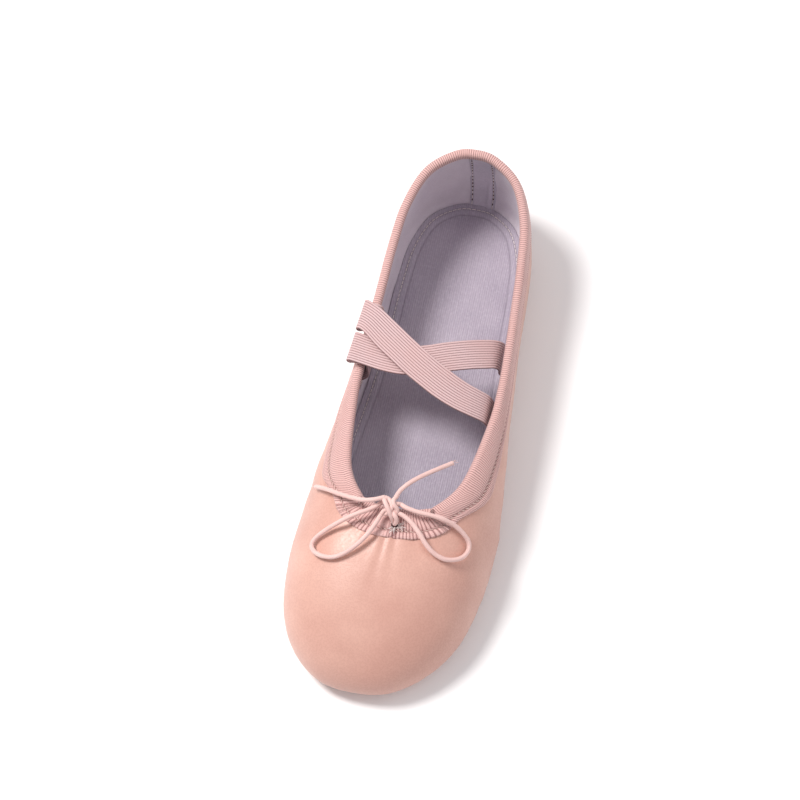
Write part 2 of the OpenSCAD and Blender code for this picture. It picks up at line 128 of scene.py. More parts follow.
def distance_along(line):
    """The distance from the line's start to each of its points (n, 3)."""
    return np.concatenate([[0], np.cumsum(np.linalg.norm(np.diff(line, axis=0), axis=1))])


def at_distance(want, run, values):
    """The rows of values (n, k) at the distances want, where run holds each row's own distance."""
    return np.stack([np.interp(want, run, column) for column in values.T], axis=-1)


def catmull_rom(a, b, c, d, f):
    """The point a fraction f of the way from b to c, on a smooth curve through a, b, c and d."""
    return 0.5 * (2 * b + (c - a) * f + (2 * a - 5 * b + 4 * c - d) * f * f
                  + (3 * b - a - 3 * c + d) * f ** 3)


def resample(points, step):
    """A smooth curve through the points (n, k), at about step apart along the first three columns."""
    p = np.asarray(points, float)
    q = np.concatenate([2 * p[:1] - p[1:2], p, 2 * p[-1:] - p[-2:-1]])
    f = np.linspace(0, 1, SPLINE_STEPS, endpoint=False)[:, None]
    fine = np.concatenate([catmull_rom(*q[i:i + 4], f) for i in range(len(p) - 1)] + [p[-1:]])
    run = distance_along(fine[:, :3])
    count = max(3, int(round(run[-1] / step)) + 1)
    return at_distance(np.linspace(0, run[-1], count), run, fine)


TOE_IN, CURVE_START, CURVE_RUN, CURVE_CENTRE = 8.0, 40.0, 160.0, 0.375


def curved(p):
    """Curves the straight shoe's points (mm) in towards the left at the toe, as in the CAD."""
    p = np.array(p, float)
    f = np.maximum(CURVE_START - p[..., 1], 0) / CURVE_RUN
    p[..., 0] += TOE_IN * (CURVE_CENTRE - f * f)
    return p


def quads(a, b, c, d):
    """Four-sided faces from four matching arrays of vertex numbers."""
    return np.stack([a, b, c, d], -1).reshape(-1, 4)


class Build:
    """Collects grids and tubes in mm, and turns them into one mesh object in metres."""
    # Rings of a tube's rounded end: their radius and their place past the path's end, in radii
    DOME = [(0.05, 0.6), (0.45, 0.27), (0.8, 0.06)]
    WELD, SLIVER = 0.02, 0.005

    def __init__(self):
        self.verts, self.faces, self.cloth, self.mask, self.count = [], [], [], [], 0

    def add(self, verts, faces, cloth, mask=0.0):
        """cloth (mm along the yarns) and mask are read by the materials."""
        v = curved(np.asarray(verts, float).reshape(-1, 3))
        self.verts.append(v)
        self.faces.extend((np.asarray(f) + self.count).tolist() for f in faces)
        self.cloth.append(np.asarray(cloth, float).reshape(-1, 2))
        self.mask.append(np.broadcast_to(np.ravel(mask), (len(v),)))
        self.count += len(v)

    def shell(self, outer, inner, ring, cloth, mask=0.0):
        """A closed solid between two grids (n, m, 3). ring joins the last column to the first."""
        n, m = outer.shape[:2]
        half = n * m
        at = np.arange(half).reshape(n, m)
        nxt = np.roll(at, -1, axis=0) if ring else at[1:]
        cur = at if ring else at[:-1]
        face = quads(cur[:, :-1], nxt[:, :-1], nxt[:, 1:], cur[:, 1:])
        faces = [face, face[:, ::-1] + half,
                 quads(cur[:, 0], cur[:, 0] + half, nxt[:, 0] + half, nxt[:, 0]),
                 quads(cur[:, -1], nxt[:, -1], nxt[:, -1] + half, cur[:, -1] + half)]
        if not ring:
            faces += [quads(at[0, :-1], at[0, 1:], at[0, 1:] + half, at[0, :-1] + half),
                      quads(at[-1, 1:], at[-1, :-1], at[-1, :-1] + half, at[-1, 1:] + half)]
        masks = np.broadcast_to(mask, (n, m)).ravel()
        self.add(np.stack([outer, inner]), np.concatenate(faces), np.stack([cloth, cloth]),
                 np.concatenate([masks, masks]))

    def ring_grid(self, grid, cloth, mask=0.0):
        """A closed skin (n, m, 3): n wraps round, and the first and last rows are welded flat later."""
        n, m = grid.shape[:2]
        at = np.arange(n * m).reshape(n, m)
        nxt = np.roll(at, -1, axis=0)
        self.add(grid, quads(at[:, :-1], nxt[:, :-1], nxt[:, 1:], at[:, 1:]), cloth, mask)

    def tube(self, path, radius, sides):
        """A round tube with domed ends along path (n, 3); radius may vary along it."""
        p = np.asarray(path, float)
        n = len(p)
        r = np.broadcast_to(np.asarray(radius, float), (n,)).copy()
        along = unit(np.gradient(p, axis=0))
        side = np.zeros_like(p)
        start = np.array([0, 0, 1.0]) if abs(along[0][2]) < 0.9 else np.array([1.0, 0, 0])
        s = unit(np.cross(along[0], start))
        for i in range(n):
            s = unit(s - along[i] * (s @ along[i]))
            side[i] = s
        other = np.cross(along, side)
        pad = len(self.DOME)
        wide, back = np.array(self.DOME).T
        before = p[0] - (along[0] * r[0]) * back[:, None]
        after = p[-1] + (along[-1] * r[-1]) * back[::-1, None]
        centre = np.concatenate([before, p, after])
        size = np.concatenate([r[0] * wide, r, r[-1] * wide[::-1]])
        side = np.concatenate([side[:1]] * pad + [side] + [side[-1:]] * pad)
        other = np.concatenate([other[:1]] * pad + [other] + [other[-1:]] * pad)
        angle = np.arange(sides) * 2 * math.pi / sides
        ring = centre[:, None] + size[:, None, None] * (
            np.cos(angle)[None, :, None] * side[:, None] + np.sin(angle)[None, :, None] * other[:, None])
        total = len(centre)
        at = np.arange(total * sides).reshape(total, sides)
        nxt = np.roll(at, -1, axis=1)
        run = distance_along(centre)
        cloth = np.stack(np.broadcast_arrays(run[:, None], angle[None, :] * size[pad]), -1)
        self.add(ring, [*quads(at[:-1], nxt[:-1], nxt[1:], at[1:]), at[0][::-1], at[-1]], cloth)

    def piece(self, name, material, slot, weld=False, sharp=None):
        mesh = bpy.data.meshes.new(name)
        verts = np.concatenate(self.verts)
        mesh.from_pydata((verts * MM).tolist(), [], self.faces)
        for title, value in (("rest", verts),
                             ("cloth", np.pad(np.concatenate(self.cloth), ((0, 0), (0, 1))))):
            mesh.attributes.new(title, "FLOAT_VECTOR", "POINT").data.foreach_set(
                "vector", value.astype(np.float32).ravel())
        mesh.attributes.new("mask", "FLOAT", "POINT").data.foreach_set(
            "value", np.concatenate(self.mask).astype(np.float32))
        if weld:
            bm = bmesh.new()
            bm.from_mesh(mesh)
            bmesh.ops.remove_doubles(bm, verts=bm.verts, dist=self.WELD * MM)
            bmesh.ops.dissolve_degenerate(bm, edges=bm.edges, dist=self.SLIVER * MM)
            bmesh.ops.recalc_face_normals(bm, faces=bm.faces)
            bm.to_mesh(mesh)
            bm.free()
        mesh.validate()
        mesh.polygons.foreach_set("use_smooth", [True] * len(mesh.polygons))
        if sharp:
            mesh.set_sharp_from_angle(angle=math.radians(sharp))
        mesh.materials.append(material)
        obj = new_object(name, mesh)
        return obj


# ---- materials
def srgb(r, g, b):
    """A colour as seen, 0 to 255, in the renderer's linear values."""
    return tuple(((c / 255 + 0.055) / 1.055) ** 2.4 if c > 10 else c / 255 / 12.92
                 for c in (r, g, b)) + (1.0,)


class Finish:
    """A Principled material with short calls for its nodes. Coordinates are in mm."""

    def __init__(self, name, **sockets):
        self.material = bpy.data.materials.new(name)
        self.material.use_nodes = True
        self.tree = self.material.node_tree
        self.shader = self.tree.nodes["Principled BSDF"]
        for key, value in sockets.items():
            self.shader.inputs[key.replace("_", " ")].default_value = value
        self.heights = None

    def put(self, socket, value):
        if isinstance(value, bpy.types.NodeSocket):
            self.tree.links.new(value, socket)
        else:
            socket.default_value = value

    def node(self, kind, props=None, **inputs):
        made = self.tree.nodes.new("ShaderNode" + kind)
        for key, value in (props or {}).items():
            setattr(made, key, value)
        for key, value in inputs.items():
            self.put(made.inputs[key.replace("_", " ")], value)
        return made

    def attribute(self, name):
        return self.node("Attribute", {"attribute_name": name})

    def where(self, name="rest"):
        return self.attribute(name).outputs["Vector"]

    def solid_mm(self):
        coords = self.node("TexCoord").outputs["Object"]
        return self.node("Mapping", {"vector_type": "POINT"}, Vector=coords,
                         Scale=(1 / MM, 1 / MM, 1 / MM)).outputs["Vector"]

    def math(self, how, a, b=0.0, c=0.0):
        made = self.node("Math", {"operation": how})
        for socket, value in zip(made.inputs, (a, b, c)):
            self.put(socket, value)
        return made.outputs[0]

    def noise(self, vector, size, detail=3.0, rough=0.55):
        return self.node("TexNoise", {"noise_dimensions": "3D"}, Vector=vector, Scale=1.0 / size,
                         Detail=detail, Roughness=rough).outputs["Fac"]

    def cells(self, vector, size, feature="F1"):
        return self.node("TexVoronoi", {"feature": feature}, Vector=vector,
                         Scale=1.0 / size).outputs["Distance"]

    def axis(self, vector, which):
        return self.node("SeparateXYZ", Vector=vector).outputs["XYZ".index(which)]

    def wave(self, value, pitch, phase=0.0):
        """A sine of a distance in mm, from 0 to 1."""
        turn = self.math("MULTIPLY_ADD", value, 2 * math.pi / pitch, phase)
        return self.math("MULTIPLY_ADD", self.math("SINE", turn), 0.5, 0.5)

    def ramp(self, value, low, high, to_low=0.0, to_high=1.0):
        made = self.node("MapRange", {"clamp": True}, Value=value)
        for key, number in (("From Min", low), ("From Max", high),
                            ("To Min", to_low), ("To Max", to_high)):
            made.inputs[key].default_value = number
        return made.outputs["Result"]

    def blend(self, factor, a, b, how="MIX"):
        made = self.node("Mix", {"data_type": "RGBA", "blend_type": how, "clamp_factor": True})
        for index, value in ((0, factor), (6, a), (7, b)):
            self.put(made.inputs[index], value)
        return made.outputs[2]

    def paint(self, colour, *layers):
        """Lays shades over a colour. A layer is a value, two ends of its span, the shade's amount at
        each of them, and the shade."""
        for value, low, high, at_low, at_high, shade in layers:
            colour = self.blend(self.ramp(value, low, high, at_low, at_high), colour, shade)
        return colour

    def raise_by(self, height, depth_mm):
        """Adds relief: height from 0 to 1, times a real depth in mm."""
        step = self.math("MULTIPLY", height, depth_mm)
        self.heights = step if self.heights is None else self.math("ADD", self.heights, step)

    def finish(self, colour, roughness):
        self.put(self.shader.inputs["Base Color"], colour)
        self.put(self.shader.inputs["Roughness"], roughness)
        if self.heights is not None:
            bump = self.node("Bump", Height=self.heights, Distance=MM, Strength=1.0)
            self.put(self.shader.inputs["Normal"], bump.outputs["Normal"])
        return self.material


def leather_finish(name, light, dark):
    m = Finish(name, Sheen_Weight=0.12, Sheen_Roughness=0.5, Coat_Weight=0.06, Coat_Roughness=0.35)
    at = m.where()
    grain = m.cells(at, 0.75)
    fine = m.noise(at, 0.35, 2.0)
    patch = m.noise(at, 38.0, 2.0)
    mottle = m.noise(at, 4.5, 4.0)
    crease_shading = m.attribute("mask").outputs["Fac"]
    colour = m.paint(
        light,
        (patch, 0.35, 0.65, 0.0, 1.0, dark),
        (mottle, 0.4, 0.75, 0.0, 0.28, dark),
        (grain, 0.25, 0.75, 0.16, 0.0, srgb(158, 104, 92)),
        # The mask darkens the pleats' creases with painted shade and lightens their puffs with a painted
        # highlight.
        (crease_shading, 0.0, 1.0, 0.0, 0.55, srgb(150, 92, 82)),
        (crease_shading, -1.0, 0.0, 0.3, 0.0, srgb(246, 214, 202)))
    m.raise_by(m.ramp(grain, 0.1, 0.6), 0.028)
    m.raise_by(fine, 0.02)
    m.raise_by(mottle, 0.05)
    rough = m.math("ADD", m.ramp(grain, 0.0, 0.8, 0.50, 0.40), m.ramp(patch, 0.3, 0.7, -0.03, 0.05))
    return m.finish(colour, rough)


def cotton_finish(name, light, dark, pitch, rib=0.0, rib_pitch=1.0):
    m = Finish(name, Sheen_Weight=0.25, Sheen_Roughness=0.6, Specular_IOR_Level=0.25)
    cloth = m.where("cloth")
    at = m.where()
    warp, weft = m.axis(cloth, "X"), m.axis(cloth, "Y")
    drift = m.math("MULTIPLY", m.noise(at, 6.0, 2.0), 0.6)
    over = m.wave(m.math("ADD", warp, drift), pitch)
    under = m.wave(m.math("ADD", weft, drift), pitch * 0.86)
    weave = m.math("MULTIPLY", over, under)
    slub = m.noise(cloth, 1.4, 4.0)
    patch = m.noise(at, 22.0, 3.0)
    colour = m.paint(
        light,
        (patch, 0.3, 0.7, 0.0, 1.0, dark),
        (weave, 0.0, 0.7, 0.30, 0.0, srgb(150, 138, 152)),
        (slub, 0.45, 0.8, 0.0, 0.25, srgb(240, 234, 240)))
    if rib:
        stripe = m.wave(m.math("ADD", m.axis(at, "X"), m.math("MULTIPLY", drift, 0.5)), rib_pitch)
        colour = m.blend(m.ramp(stripe, 0.0, 0.6, 0.32, 0.0), colour, srgb(142, 130, 146))
        m.raise_by(stripe, rib)
    # The mask darkens seams, grooves and tape edges with painted shade.
    crease_shading = m.attribute("mask").outputs["Fac"]
    colour = m.blend(m.ramp(crease_shading, 0.0, 1.0, 0.0, 0.75), colour, srgb(86, 74, 90))
    m.raise_by(weave, 0.09)
    m.raise_by(slub, 0.05)
    return m.finish(colour, m.ramp(slub, 0.3, 0.8, 0.82, 0.95))


def knit_finish(name, light, shaded_groove, fine_pitch):
    """Ribbed elastic: the mask attribute runs from 0 in a groove to 1 on a rib's crown. The grooves take
    painted shade, the crowns the knit's own colour.
    """
    m = Finish(name, Sheen_Weight=0.3, Sheen_Roughness=0.45, Specular_IOR_Level=0.35)
    cloth = m.where("cloth")
    at = m.where()
    crown = m.attribute("mask").outputs["Fac"]
    twist = m.wave(m.math("ADD", m.axis(cloth, "X"), m.math("MULTIPLY", m.axis(cloth, "Y"), 0.35)),
                   fine_pitch)
    cross = m.wave(m.axis(cloth, "Y"), fine_pitch * 1.3)
    yarn = m.noise(cloth, 0.5, 3.0)
    patch = m.noise(at, 14.0, 3.0)
    # Grooves take the painted shade colour, crowns the knit's own colour.
    colour = m.paint(
        shaded_groove,
        (crown, 0.1, 0.85, 0.0, 1.0, light),
        (twist, 0.0, 0.8, 0.22, 0.0, shaded_groove),
        (yarn, 0.5, 0.85, 0.0, 0.3, srgb(250, 236, 232)),
        (patch, 0.35, 0.7, 0.0, 0.22, srgb(198, 150, 142)))
    m.raise_by(twist, 0.05)
    m.raise_by(cross, 0.03)
    m.raise_by(yarn, 0.05)
    return m.finish(colour, m.ramp(yarn, 0.3, 0.8, 0.62, 0.8))


def thread_finish(name, light, dark, pitch, slope=1.0):
    """A braided or twisted cord: cloth X runs along it and cloth Y round it, in mm."""
    m = Finish(name, Sheen_Weight=0.3, Sheen_Roughness=0.4, Specular_IOR_Level=0.4)
    cloth = m.where("cloth")
    run, turn = m.axis(cloth, "X"), m.axis(cloth, "Y")
    one = m.wave(m.math("ADD", run, m.math("MULTIPLY", turn, slope)), pitch)
    two = m.wave(m.math("SUBTRACT", run, m.math("MULTIPLY", turn, slope)), pitch)
    braid = m.math("MAXIMUM", one, two)
    fuzz = m.noise(cloth, 0.4, 3.0)
    tone = m.noise(m.where(), 9.0, 2.0)
    colour = m.paint(
        dark,
        (braid, 0.1, 0.8, 0.0, 1.0, light),
        (tone, 0.35, 0.7, 0.0, 0.3, dark),
        (fuzz, 0.55, 0.85, 0.0, 0.3, srgb(255, 246, 243)))
    m.raise_by(braid, 0.06)
    m.raise_by(fuzz, 0.02)
    return m.finish(colour, m.ramp(fuzz, 0.3, 0.8, 0.5, 0.7))


def suede_finish(name, light, dark):
    m = Finish(name, Sheen_Weight=0.45, Sheen_Roughness=0.55, Specular_IOR_Level=0.15)
    at = m.where()
    nap = m.noise(at, 0.5, 5.0, 0.7)
    fibre = m.cells(at, 0.6)
    brushed = m.noise(at, 9.0, 5.0, 0.65)
    patch = m.noise(at, 34.0, 2.0)
    dent_shade_and_rim = m.attribute("mask").outputs["Fac"]
    colour = m.paint(
        light,
        (patch, 0.35, 0.65, 0.0, 1.0, dark),
        (brushed, 0.4, 0.65, 0.0, 0.5, dark),
        (nap, 0.45, 0.7, 0.0, 0.35, srgb(242, 212, 200)),
        (fibre, 0.35, 0.8, 0.25, 0.0, srgb(150, 104, 90)),
        # The mask darkens the stitch dents with painted shade, and lightens the suede along its rim.
        (dent_shade_and_rim, 0.0, 1.0, 0.0, 0.92, srgb(70, 38, 34)),
        (dent_shade_and_rim, -1.0, 0.0, 0.55, 0.0, srgb(248, 220, 208)))
    m.raise_by(nap, 0.14)
    m.raise_by(brushed, 0.10)
    m.raise_by(fibre, 0.03)
    return m.finish(colour, m.ramp(nap, 0.3, 0.7, 0.88, 1.0))


def plain_finish(name, light, dark, size, depth):
    """Hidden layers, such as board and foam: pressed fibre or open cells."""
    m = Finish(name, Specular_IOR_Level=0.3)
    at = m.solid_mm()
    spots = m.noise(at, size, 5.0, 0.65)
    pores = m.cells(at, size * 0.6)
    colour = m.paint(
        light,
        (spots, 0.35, 0.65, 0.0, 1.0, dark),
        (pores, 0.1, 0.5, 0.3, 0.0, dark))
    m.raise_by(spots, depth)
    m.raise_by(pores, depth)
    return m.finish(colour, m.ramp(spots, 0.3, 0.7, 0.75, 0.95))


LEATHER = leather_finish("leather_pink", srgb(216, 170, 154), srgb(202, 153, 138))
LINING = cotton_finish("cotton_lining", srgb(240, 230, 236), srgb(222, 210, 220), 0.55)
SOCK = cotton_finish("cotton_sock", srgb(192, 182, 194), srgb(174, 164, 178), 0.6, 0.10, 0.95)
TAPE = cotton_finish("cotton_tape", srgb(214, 204, 216), srgb(194, 184, 198), 0.5)
# The second colour of each knit is painted shade for its rib grooves.
BINDING = knit_finish("knit_binding", srgb(228, 187, 181), srgb(140, 92, 90), 0.45)
STRAP = knit_finish("knit_strap", srgb(214, 184, 184), srgb(124, 84, 84), 0.6)
CORD = thread_finish("braided_cord", srgb(240, 204, 197), srgb(206, 160, 152), 0.62, 1.2)
THREAD = thread_finish("sewing_thread", srgb(240, 214, 204), srgb(206, 166, 154), 0.5, 1.6)
PALE_THREAD = thread_finish("pale_thread", srgb(250, 240, 236), srgb(226, 208, 204), 0.5, 1.6)
SUEDE = suede_finish("suede_tan", srgb(226, 180, 164), srgb(206, 158, 142))
FOAM = plain_finish("foam_white", srgb(240, 236, 230), srgb(220, 214, 206), 0.8, 0.08)
BOARD = plain_finish("fibre_board", srgb(200, 174, 142), srgb(172, 146, 116), 1.6, 0.05)
SEWN = plain_finish("sole_seam_thread", srgb(232, 216, 200), srgb(206, 188, 170), 0.5, 0.05)
# A dark finish of painted shade, put inside holes where the shadow falls.
HOLE_SHADE = plain_finish("hole_painted_shade", srgb(96, 62, 62), srgb(60, 36, 38), 0.7, 0.05)

# ---- cords of the bow
CORD_D, CORD_STEP, CORD_SIDES = 1.9, 0.5, 14
FRAYED_YARNS, FRAY_LENGTH = 9, 1.4
KNOT = np.array([-1.6, -53.9, 48.8])
LOOP_LEFT = [
    (-5.4, -52.5, 48.8), (-7.6, -54.9, 49), (-10.4, -57, 48.9), (-13.9, -58.9, 48.2), (-18, -61.1, 46.2),
    (-22.2, -63.4, 43.2), (-25.8, -65.7, 40.2), (-28.7, -68.1, 37.5), (-29.7, -70.8, 36.3),
    (-27.9, -73.7, 37), (-24, -75.7, 38.7), (-19.6, -76, 40.2), (-15.8, -74.6, 41.8),
    (-12.4, -71.9, 43.4), (-9.4, -68.5, 45), (-7, -64.7, 46.7), (-5.4, -61, 47.8), (-4.3, -57.4, 48.4)]
LOOP_RIGHT = [
    (2.2, -51.9, 48.8), (5.2, -53.2, 49.2), (9.9, -53.9, 48.8), (14.8, -54, 48.2), (19.7, -54, 46.5),
    (24.4, -54.3, 43.2), (28.4, -55.6, 39.7), (31.3, -57.5, 36.6), (32.2, -60.5, 35.2), (30.9, -64.4, 36),
    (27.9, -67.1, 38), (24.1, -68.3, 40), (19.8, -67.4, 41.9), (15.9, -65, 44), (12.4, -61.8, 46.2),
    (8.6, -58.6, 47.6), (5, -56.6, 48.4), (2.4, -55.7, 48.6)]
END_LEFT = [
    (-4.4, -51, 51.2), (-8.6, -53.1, 51.7), (-12.9, -53.5, 50.5), (-17.4, -52.6, 48.6), (-22, -51.1, 46.1),
    (-26.5, -49.1, 43), (-30.4, -47.2, 39.7), (-33.5, -45.6, 36.3), (-35.6, -44.4, 33.4)]
END_RIGHT = [
    (-0.2, -50.3, 50.8), (1.2, -47.4, 52.6), (3.9, -44, 53.2), (7, -40.6, 52.6), (10.3, -37.2, 51.2),
    (13.6, -33.8, 49.4), (16.9, -30.3, 47.2), (18, -29, 46.3)]


def bow_cord(name, route, body, node, far_end):
    """One free length of cord. The two ends are cut off bare; the loops go back into the knot."""
    path = resample(route, CORD_STEP)
    build = Build()
    reach = np.linspace(0, 1, len(path))
    uneven = 0.02 * np.sin(reach * 60) + 0.015 * np.sin(reach * 23 + 1)
    build.tube(path, CORD_D / 2 * (1 + uneven), CORD_SIDES)
    if far_end == "bare":
        way = unit(path[-1] - path[-4])
        draw = np.random.default_rng(len(route))
        for _ in range(FRAYED_YARNS):
            lean = unit(way + draw.normal(scale=0.35, size=3)) * FRAY_LENGTH
            root = path[-1] + draw.normal(scale=0.45, size=3)
            tip = root + lean + draw.normal(scale=0.2, size=3)
            build.tube([root, root + lean / 2, tip], [0.13, 0.11, 0.06], 5)
    obj = build.piece(name, CORD, "cord_elastic")
    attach(obj, body)
    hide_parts(node)
    path = curved(path)
    return obj


bow_cord("bow_left_loop", LOOP_LEFT, "loop_left", "bow_loop_left", "object")
bow_cord("bow_right_loop", LOOP_RIGHT, "loop_right", "bow_loop_right", "object")
bow_cord("bow_left_tail", END_LEFT, "end_left", "cord_end_left", "bare")
bow_cord("bow_right_tail", END_RIGHT, "end_right", "cord_end_right", "bare")

# ---- the shoe's surface
# Driving sizes, in mm, as in the CAD
OUTSOLE_T, BOARD_TOP, FOAM_T, SOCK_T = 1.6, 4.0, 1.8, 0.8
MARGIN_W, LEATHER_T, LINING_T, TAPE_T = 9.0, 1.2, 0.6, 0.5
BIND_DEPTH, STRAP_T = 10.0, 1.0
FLEX_Y, REAR_LEAN, FORE_LEAN, HINGE_GAP = 45.0, 1.0, 0.14, 0.3
THREAD_H, SOCK_RIM_H, SOCK_RIM_W = 0.4, 0.5, 5.5
FOAM_Z = BOARD_TOP + THREAD_H
SOCK_Z = FOAM_Z + FOAM_T
WALL_T = LEATHER_T + LINING_T
ROLL_LIFT, ROLL_IN, ROLL_OUT = 1.35, 1.15, 1.95


def fore(x, z):
    return (x, -FLEX_Y - HINGE_GAP - FORE_LEAN * z, z)


def rear(x, z):
    return (x, -FLEX_Y + HINGE_GAP + REAR_LEAN * z, z)


# Toe to heel on the right side: outline, topline, sole edge, and lean in Y per mm up
HALF = [
    ((0, -120, 9), (0, -55, 44), (0, -101, 0), 0),
    ((15, -117.5, 9), (3.5, -54.9, 44), (10.5, -98.5, 0), 0),
    ((28, -107.5, 9.5), (7, -54.5, 43.8), (20, -90.5, 0), 0),
    ((37, -92, 10), (10.2, -53.7, 43.5), (28, -77.5, 0), 0),
    ((41, -70, 10.5), (13.2, -52.6, 43.2), (32, -61, 0), 0),
    (fore(41.5, 11), fore(16.2, 42.8), fore(31.5, 1.6), -FORE_LEAN),
    ((40.9, -42.4, 11), (26.2, -35.6, 40.2), (31.3, -44.6, 0), 0.24),
    (rear(39.6, 11), rear(31, 38.3), rear(31, 1.6), REAR_LEAN),
    ((36.6, -9, 11.3), (31.5, 10, 38.1), (26.6, -11, 0), 0.5),
    ((34.1, 17, 11.6), (30.9, 28, 38.7), (23.2, 15, 0), 0.3),
    ((32.2, 44, 12), (30, 47, 40.1), (21.5, 42, 0), 0.1),
    ((31.4, 69, 12.4), (29, 67, 43), (22, 68, 0), 0),
    ((29.2, 91, 13), (26.8, 86.4, 46.5), (21.2, 88, 0), 0),
    ((22.2, 108.6, 13.5), (20.4, 102.8, 50.5), (16, 101.6, 0), 0),
    ((10, 118.1, 14), (9.4, 111.6, 53.2), (8, 107, 0), 0),
    ((0, 120, 14), (0, 113.5, 54), (0, 108.5, 0), 0)]
HEEL = len(HALF) - 1
COUNT = 2 * HEEL
TABLE = np.array([list(p) + list(t) + list(s) + [k] for p, t, s, k in HALF])
SIGN = np.array([-1, 1, 1, -1, 1, 1, -1, 1, 1, 1])
TABLE = np.concatenate([TABLE, TABLE[HEEL - 1:0:-1] * SIGN])
FLEX_SPANS = (5, 6, COUNT - 7, COUNT - 6)
FLEX_SPAN = 4.5, 6.9
FINE_POINTS = 6001


def between(u):
    k = np.floor(u).astype(int)
    f = (u - k)[:, None]
    a, b, c, d = (TABLE[(k + i) % COUNT] for i in (-1, 0, 1, 2))
    row = catmull_rom(a, b, c, d, f)
    # Beside the flex axis the sole's stations are close together, so that edge runs straight there
    straight = np.isin(k % COUNT, FLEX_SPANS)[:, None]
    sole = np.where(straight, mix(b, c, f)[:, 6:9], row[:, 6:9])
    return row[:, 0:3], row[:, 3:6], sole, row[:, 9:10]


def bezier(a, b, c, d, t):
    return (1 - t) ** 3 * a + 3 * t * (1 - t) ** 2 * b + 3 * t * t * (1 - t) * c + t ** 3 * d


def column(u):
    """The control points of the wall's two curves at each u, and the way in under the sole."""
    outline, top, sole, lean = between(u)
    sole = np.concatenate([sole[:, :2], np.full((len(u), 1), OUTSOLE_T)], axis=1)
    tilt = np.concatenate([np.zeros_like(lean), lean, np.ones_like(lean)], axis=1)
    below = outline - tilt * (outline[:, 2:] - OUTSOLE_T)
    above = outline + tilt * (top[:, 2:] - outline[:, 2:])
    spread = np.linalg.norm((top - above)[:, :2], axis=1)
    shoulder = (0.45 + 0.39 * smooth((spread - 4) / 16))[:, None]
    pull_in = mix(top, mix(outline, above, shoulder), 0.5)
    return {"outline": outline, "top": top, "sole": sole,
            "pull_up": mix(outline, above, 0.5), "pull_in": pull_in,
            "inward": unit(sole - below), "flat_end": mix(sole, below, 0.55),
            "turn_end": mix(outline, below, 0.55),
            "speed": 3 * np.linalg.norm(top - pull_in, axis=1)}


def top_row(u, down):
    """The v of a row down mm below the topline."""
    return 2 - down / column(u)["speed"]


def skin(u, v):
    """The leather's outside at (u, v), as points (len(u), rows, 3). v is (rows,) or (len(u), rows):
    -1 to 0 is the tucked margin, 0 to 1 the curve under the foot, and 1 to 2 the side wall."""
    c = {k: (x[:, None, :] if x.ndim == 2 else x[:, None]) for k, x in column(u).items()}
    v = np.broadcast_to(v, (len(u), np.shape(v)[-1]))[..., None]
    margin = c["sole"] + c["inward"] * MARGIN_W * -v
    under = bezier(c["sole"], c["flat_end"], c["turn_end"], c["outline"], v)
    side = bezier(c["outline"], c["pull_up"], c["pull_in"], c["top"], v - 1)
    return np.where(v < 0, margin, np.where(v < 1, under, side))


def skin_normals(u, v):
    e, h = 0.02, 0.004
    v = np.broadcast_to(v, (len(u), np.shape(v)[-1]))
    du = skin(u + e, v) - skin(u - e, v)
    dv = skin(u, np.minimum(v + h, 2)) - skin(u, v - h)
    return unit(np.cross(du, dv))


def even_u(pick, step, start=0.0, stop=float(COUNT), per=1):
    """Values of u, per of them to each step of about step mm along a line of the shoe, and the
    distance along it."""
    fine = np.linspace(start, stop, FINE_POINTS)
    run = distance_along(pick(fine))
    n = per * int(round(run[-1] / step))
    want = np.linspace(0, run[-1], n + 1)
    return np.interp(want, run, fine), want


def outline_of(u):
    return between(u)[0]


def topline_of(u):
    return between(u)[1]


def from_toe(u):
    """u counted from the toe, and negative on the left side."""
    return (u + HEEL) % COUNT - HEEL


def toe_distance(pick, u):
    """Distance from the toe along a line of the shoe, in mm, positive on the right."""
    fine = np.linspace(-HEEL, HEEL, FINE_POINTS)
    run = distance_along(pick(fine))
    return np.interp(from_toe(u), fine, run - np.interp(0, fine, run))


def grid_cloth(points):
    """Distances over a grid (n, m, 3): along the columns' direction, then up the rows."""
    across = np.linalg.norm(np.diff(points, axis=0), axis=-1).mean(axis=1)
    up = np.linalg.norm(np.diff(points, axis=1), axis=-1)
    x = np.concatenate([[0], np.cumsum(across)])[:, None] + np.zeros(points.shape[1])
    y = np.concatenate([np.zeros((len(points), 1)), np.cumsum(up, axis=1)], axis=1)
    return np.stack([x, y], -1)


def straighten(u, grid):
    """Runs the columns beside the flex axis straight, because their stations crowd together there."""
    u = u % COUNT
    for start, stop in (FLEX_SPAN, (COUNT - FLEX_SPAN[1], COUNT - FLEX_SPAN[0])):
        inside = np.flatnonzero((u > start) & (u < stop))
        first, last = inside[0] - 1, inside[-1] + 1
        f = ((inside - first) / (last - first)).reshape((-1,) + (1,) * (grid.ndim - 1))
        grid[inside] = mix(grid[first], grid[last], f)
    return grid


def ease_flex(u, v, grid):
    """Straightens the part of a wall's grid that turns under the foot."""
    under = (1 - smooth((v - 0.7) / 0.4))[None, :, None]
    return mix(grid, straighten(u, grid.copy()), under)


def bend_sole(obj):
    """Bakes a sole layer's transform into its mesh."""
    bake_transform(obj)


def bend_upper(obj):
    """Bakes an upper layer's transform into its mesh."""
    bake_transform(obj)


# ---- leather upper
# Ends of the leather, sides of the strip over them, and the seams' distance from the heel, in u
LEATHER_END, STRIP_SIDES, SEAM_OFF = 14.06, (13.78, 16.22), 1.02
# Thickness of the leather and of its tucked hem, and how far the strip stands out of it and is
# held down under the binding, in mm
UPPER_T, HEM_T, STRIP_OUT, STRIP_HELD = 0.95, 0.70, 0.42, 0.12
# Steps of the grids along the outline, in mm
LEATHER_STEP, STRIP_STEP, LINING_STEP, SOCK_STEP, FOAM_STEP = 1.1, 0.9, 1.5, 1.25, 3.0
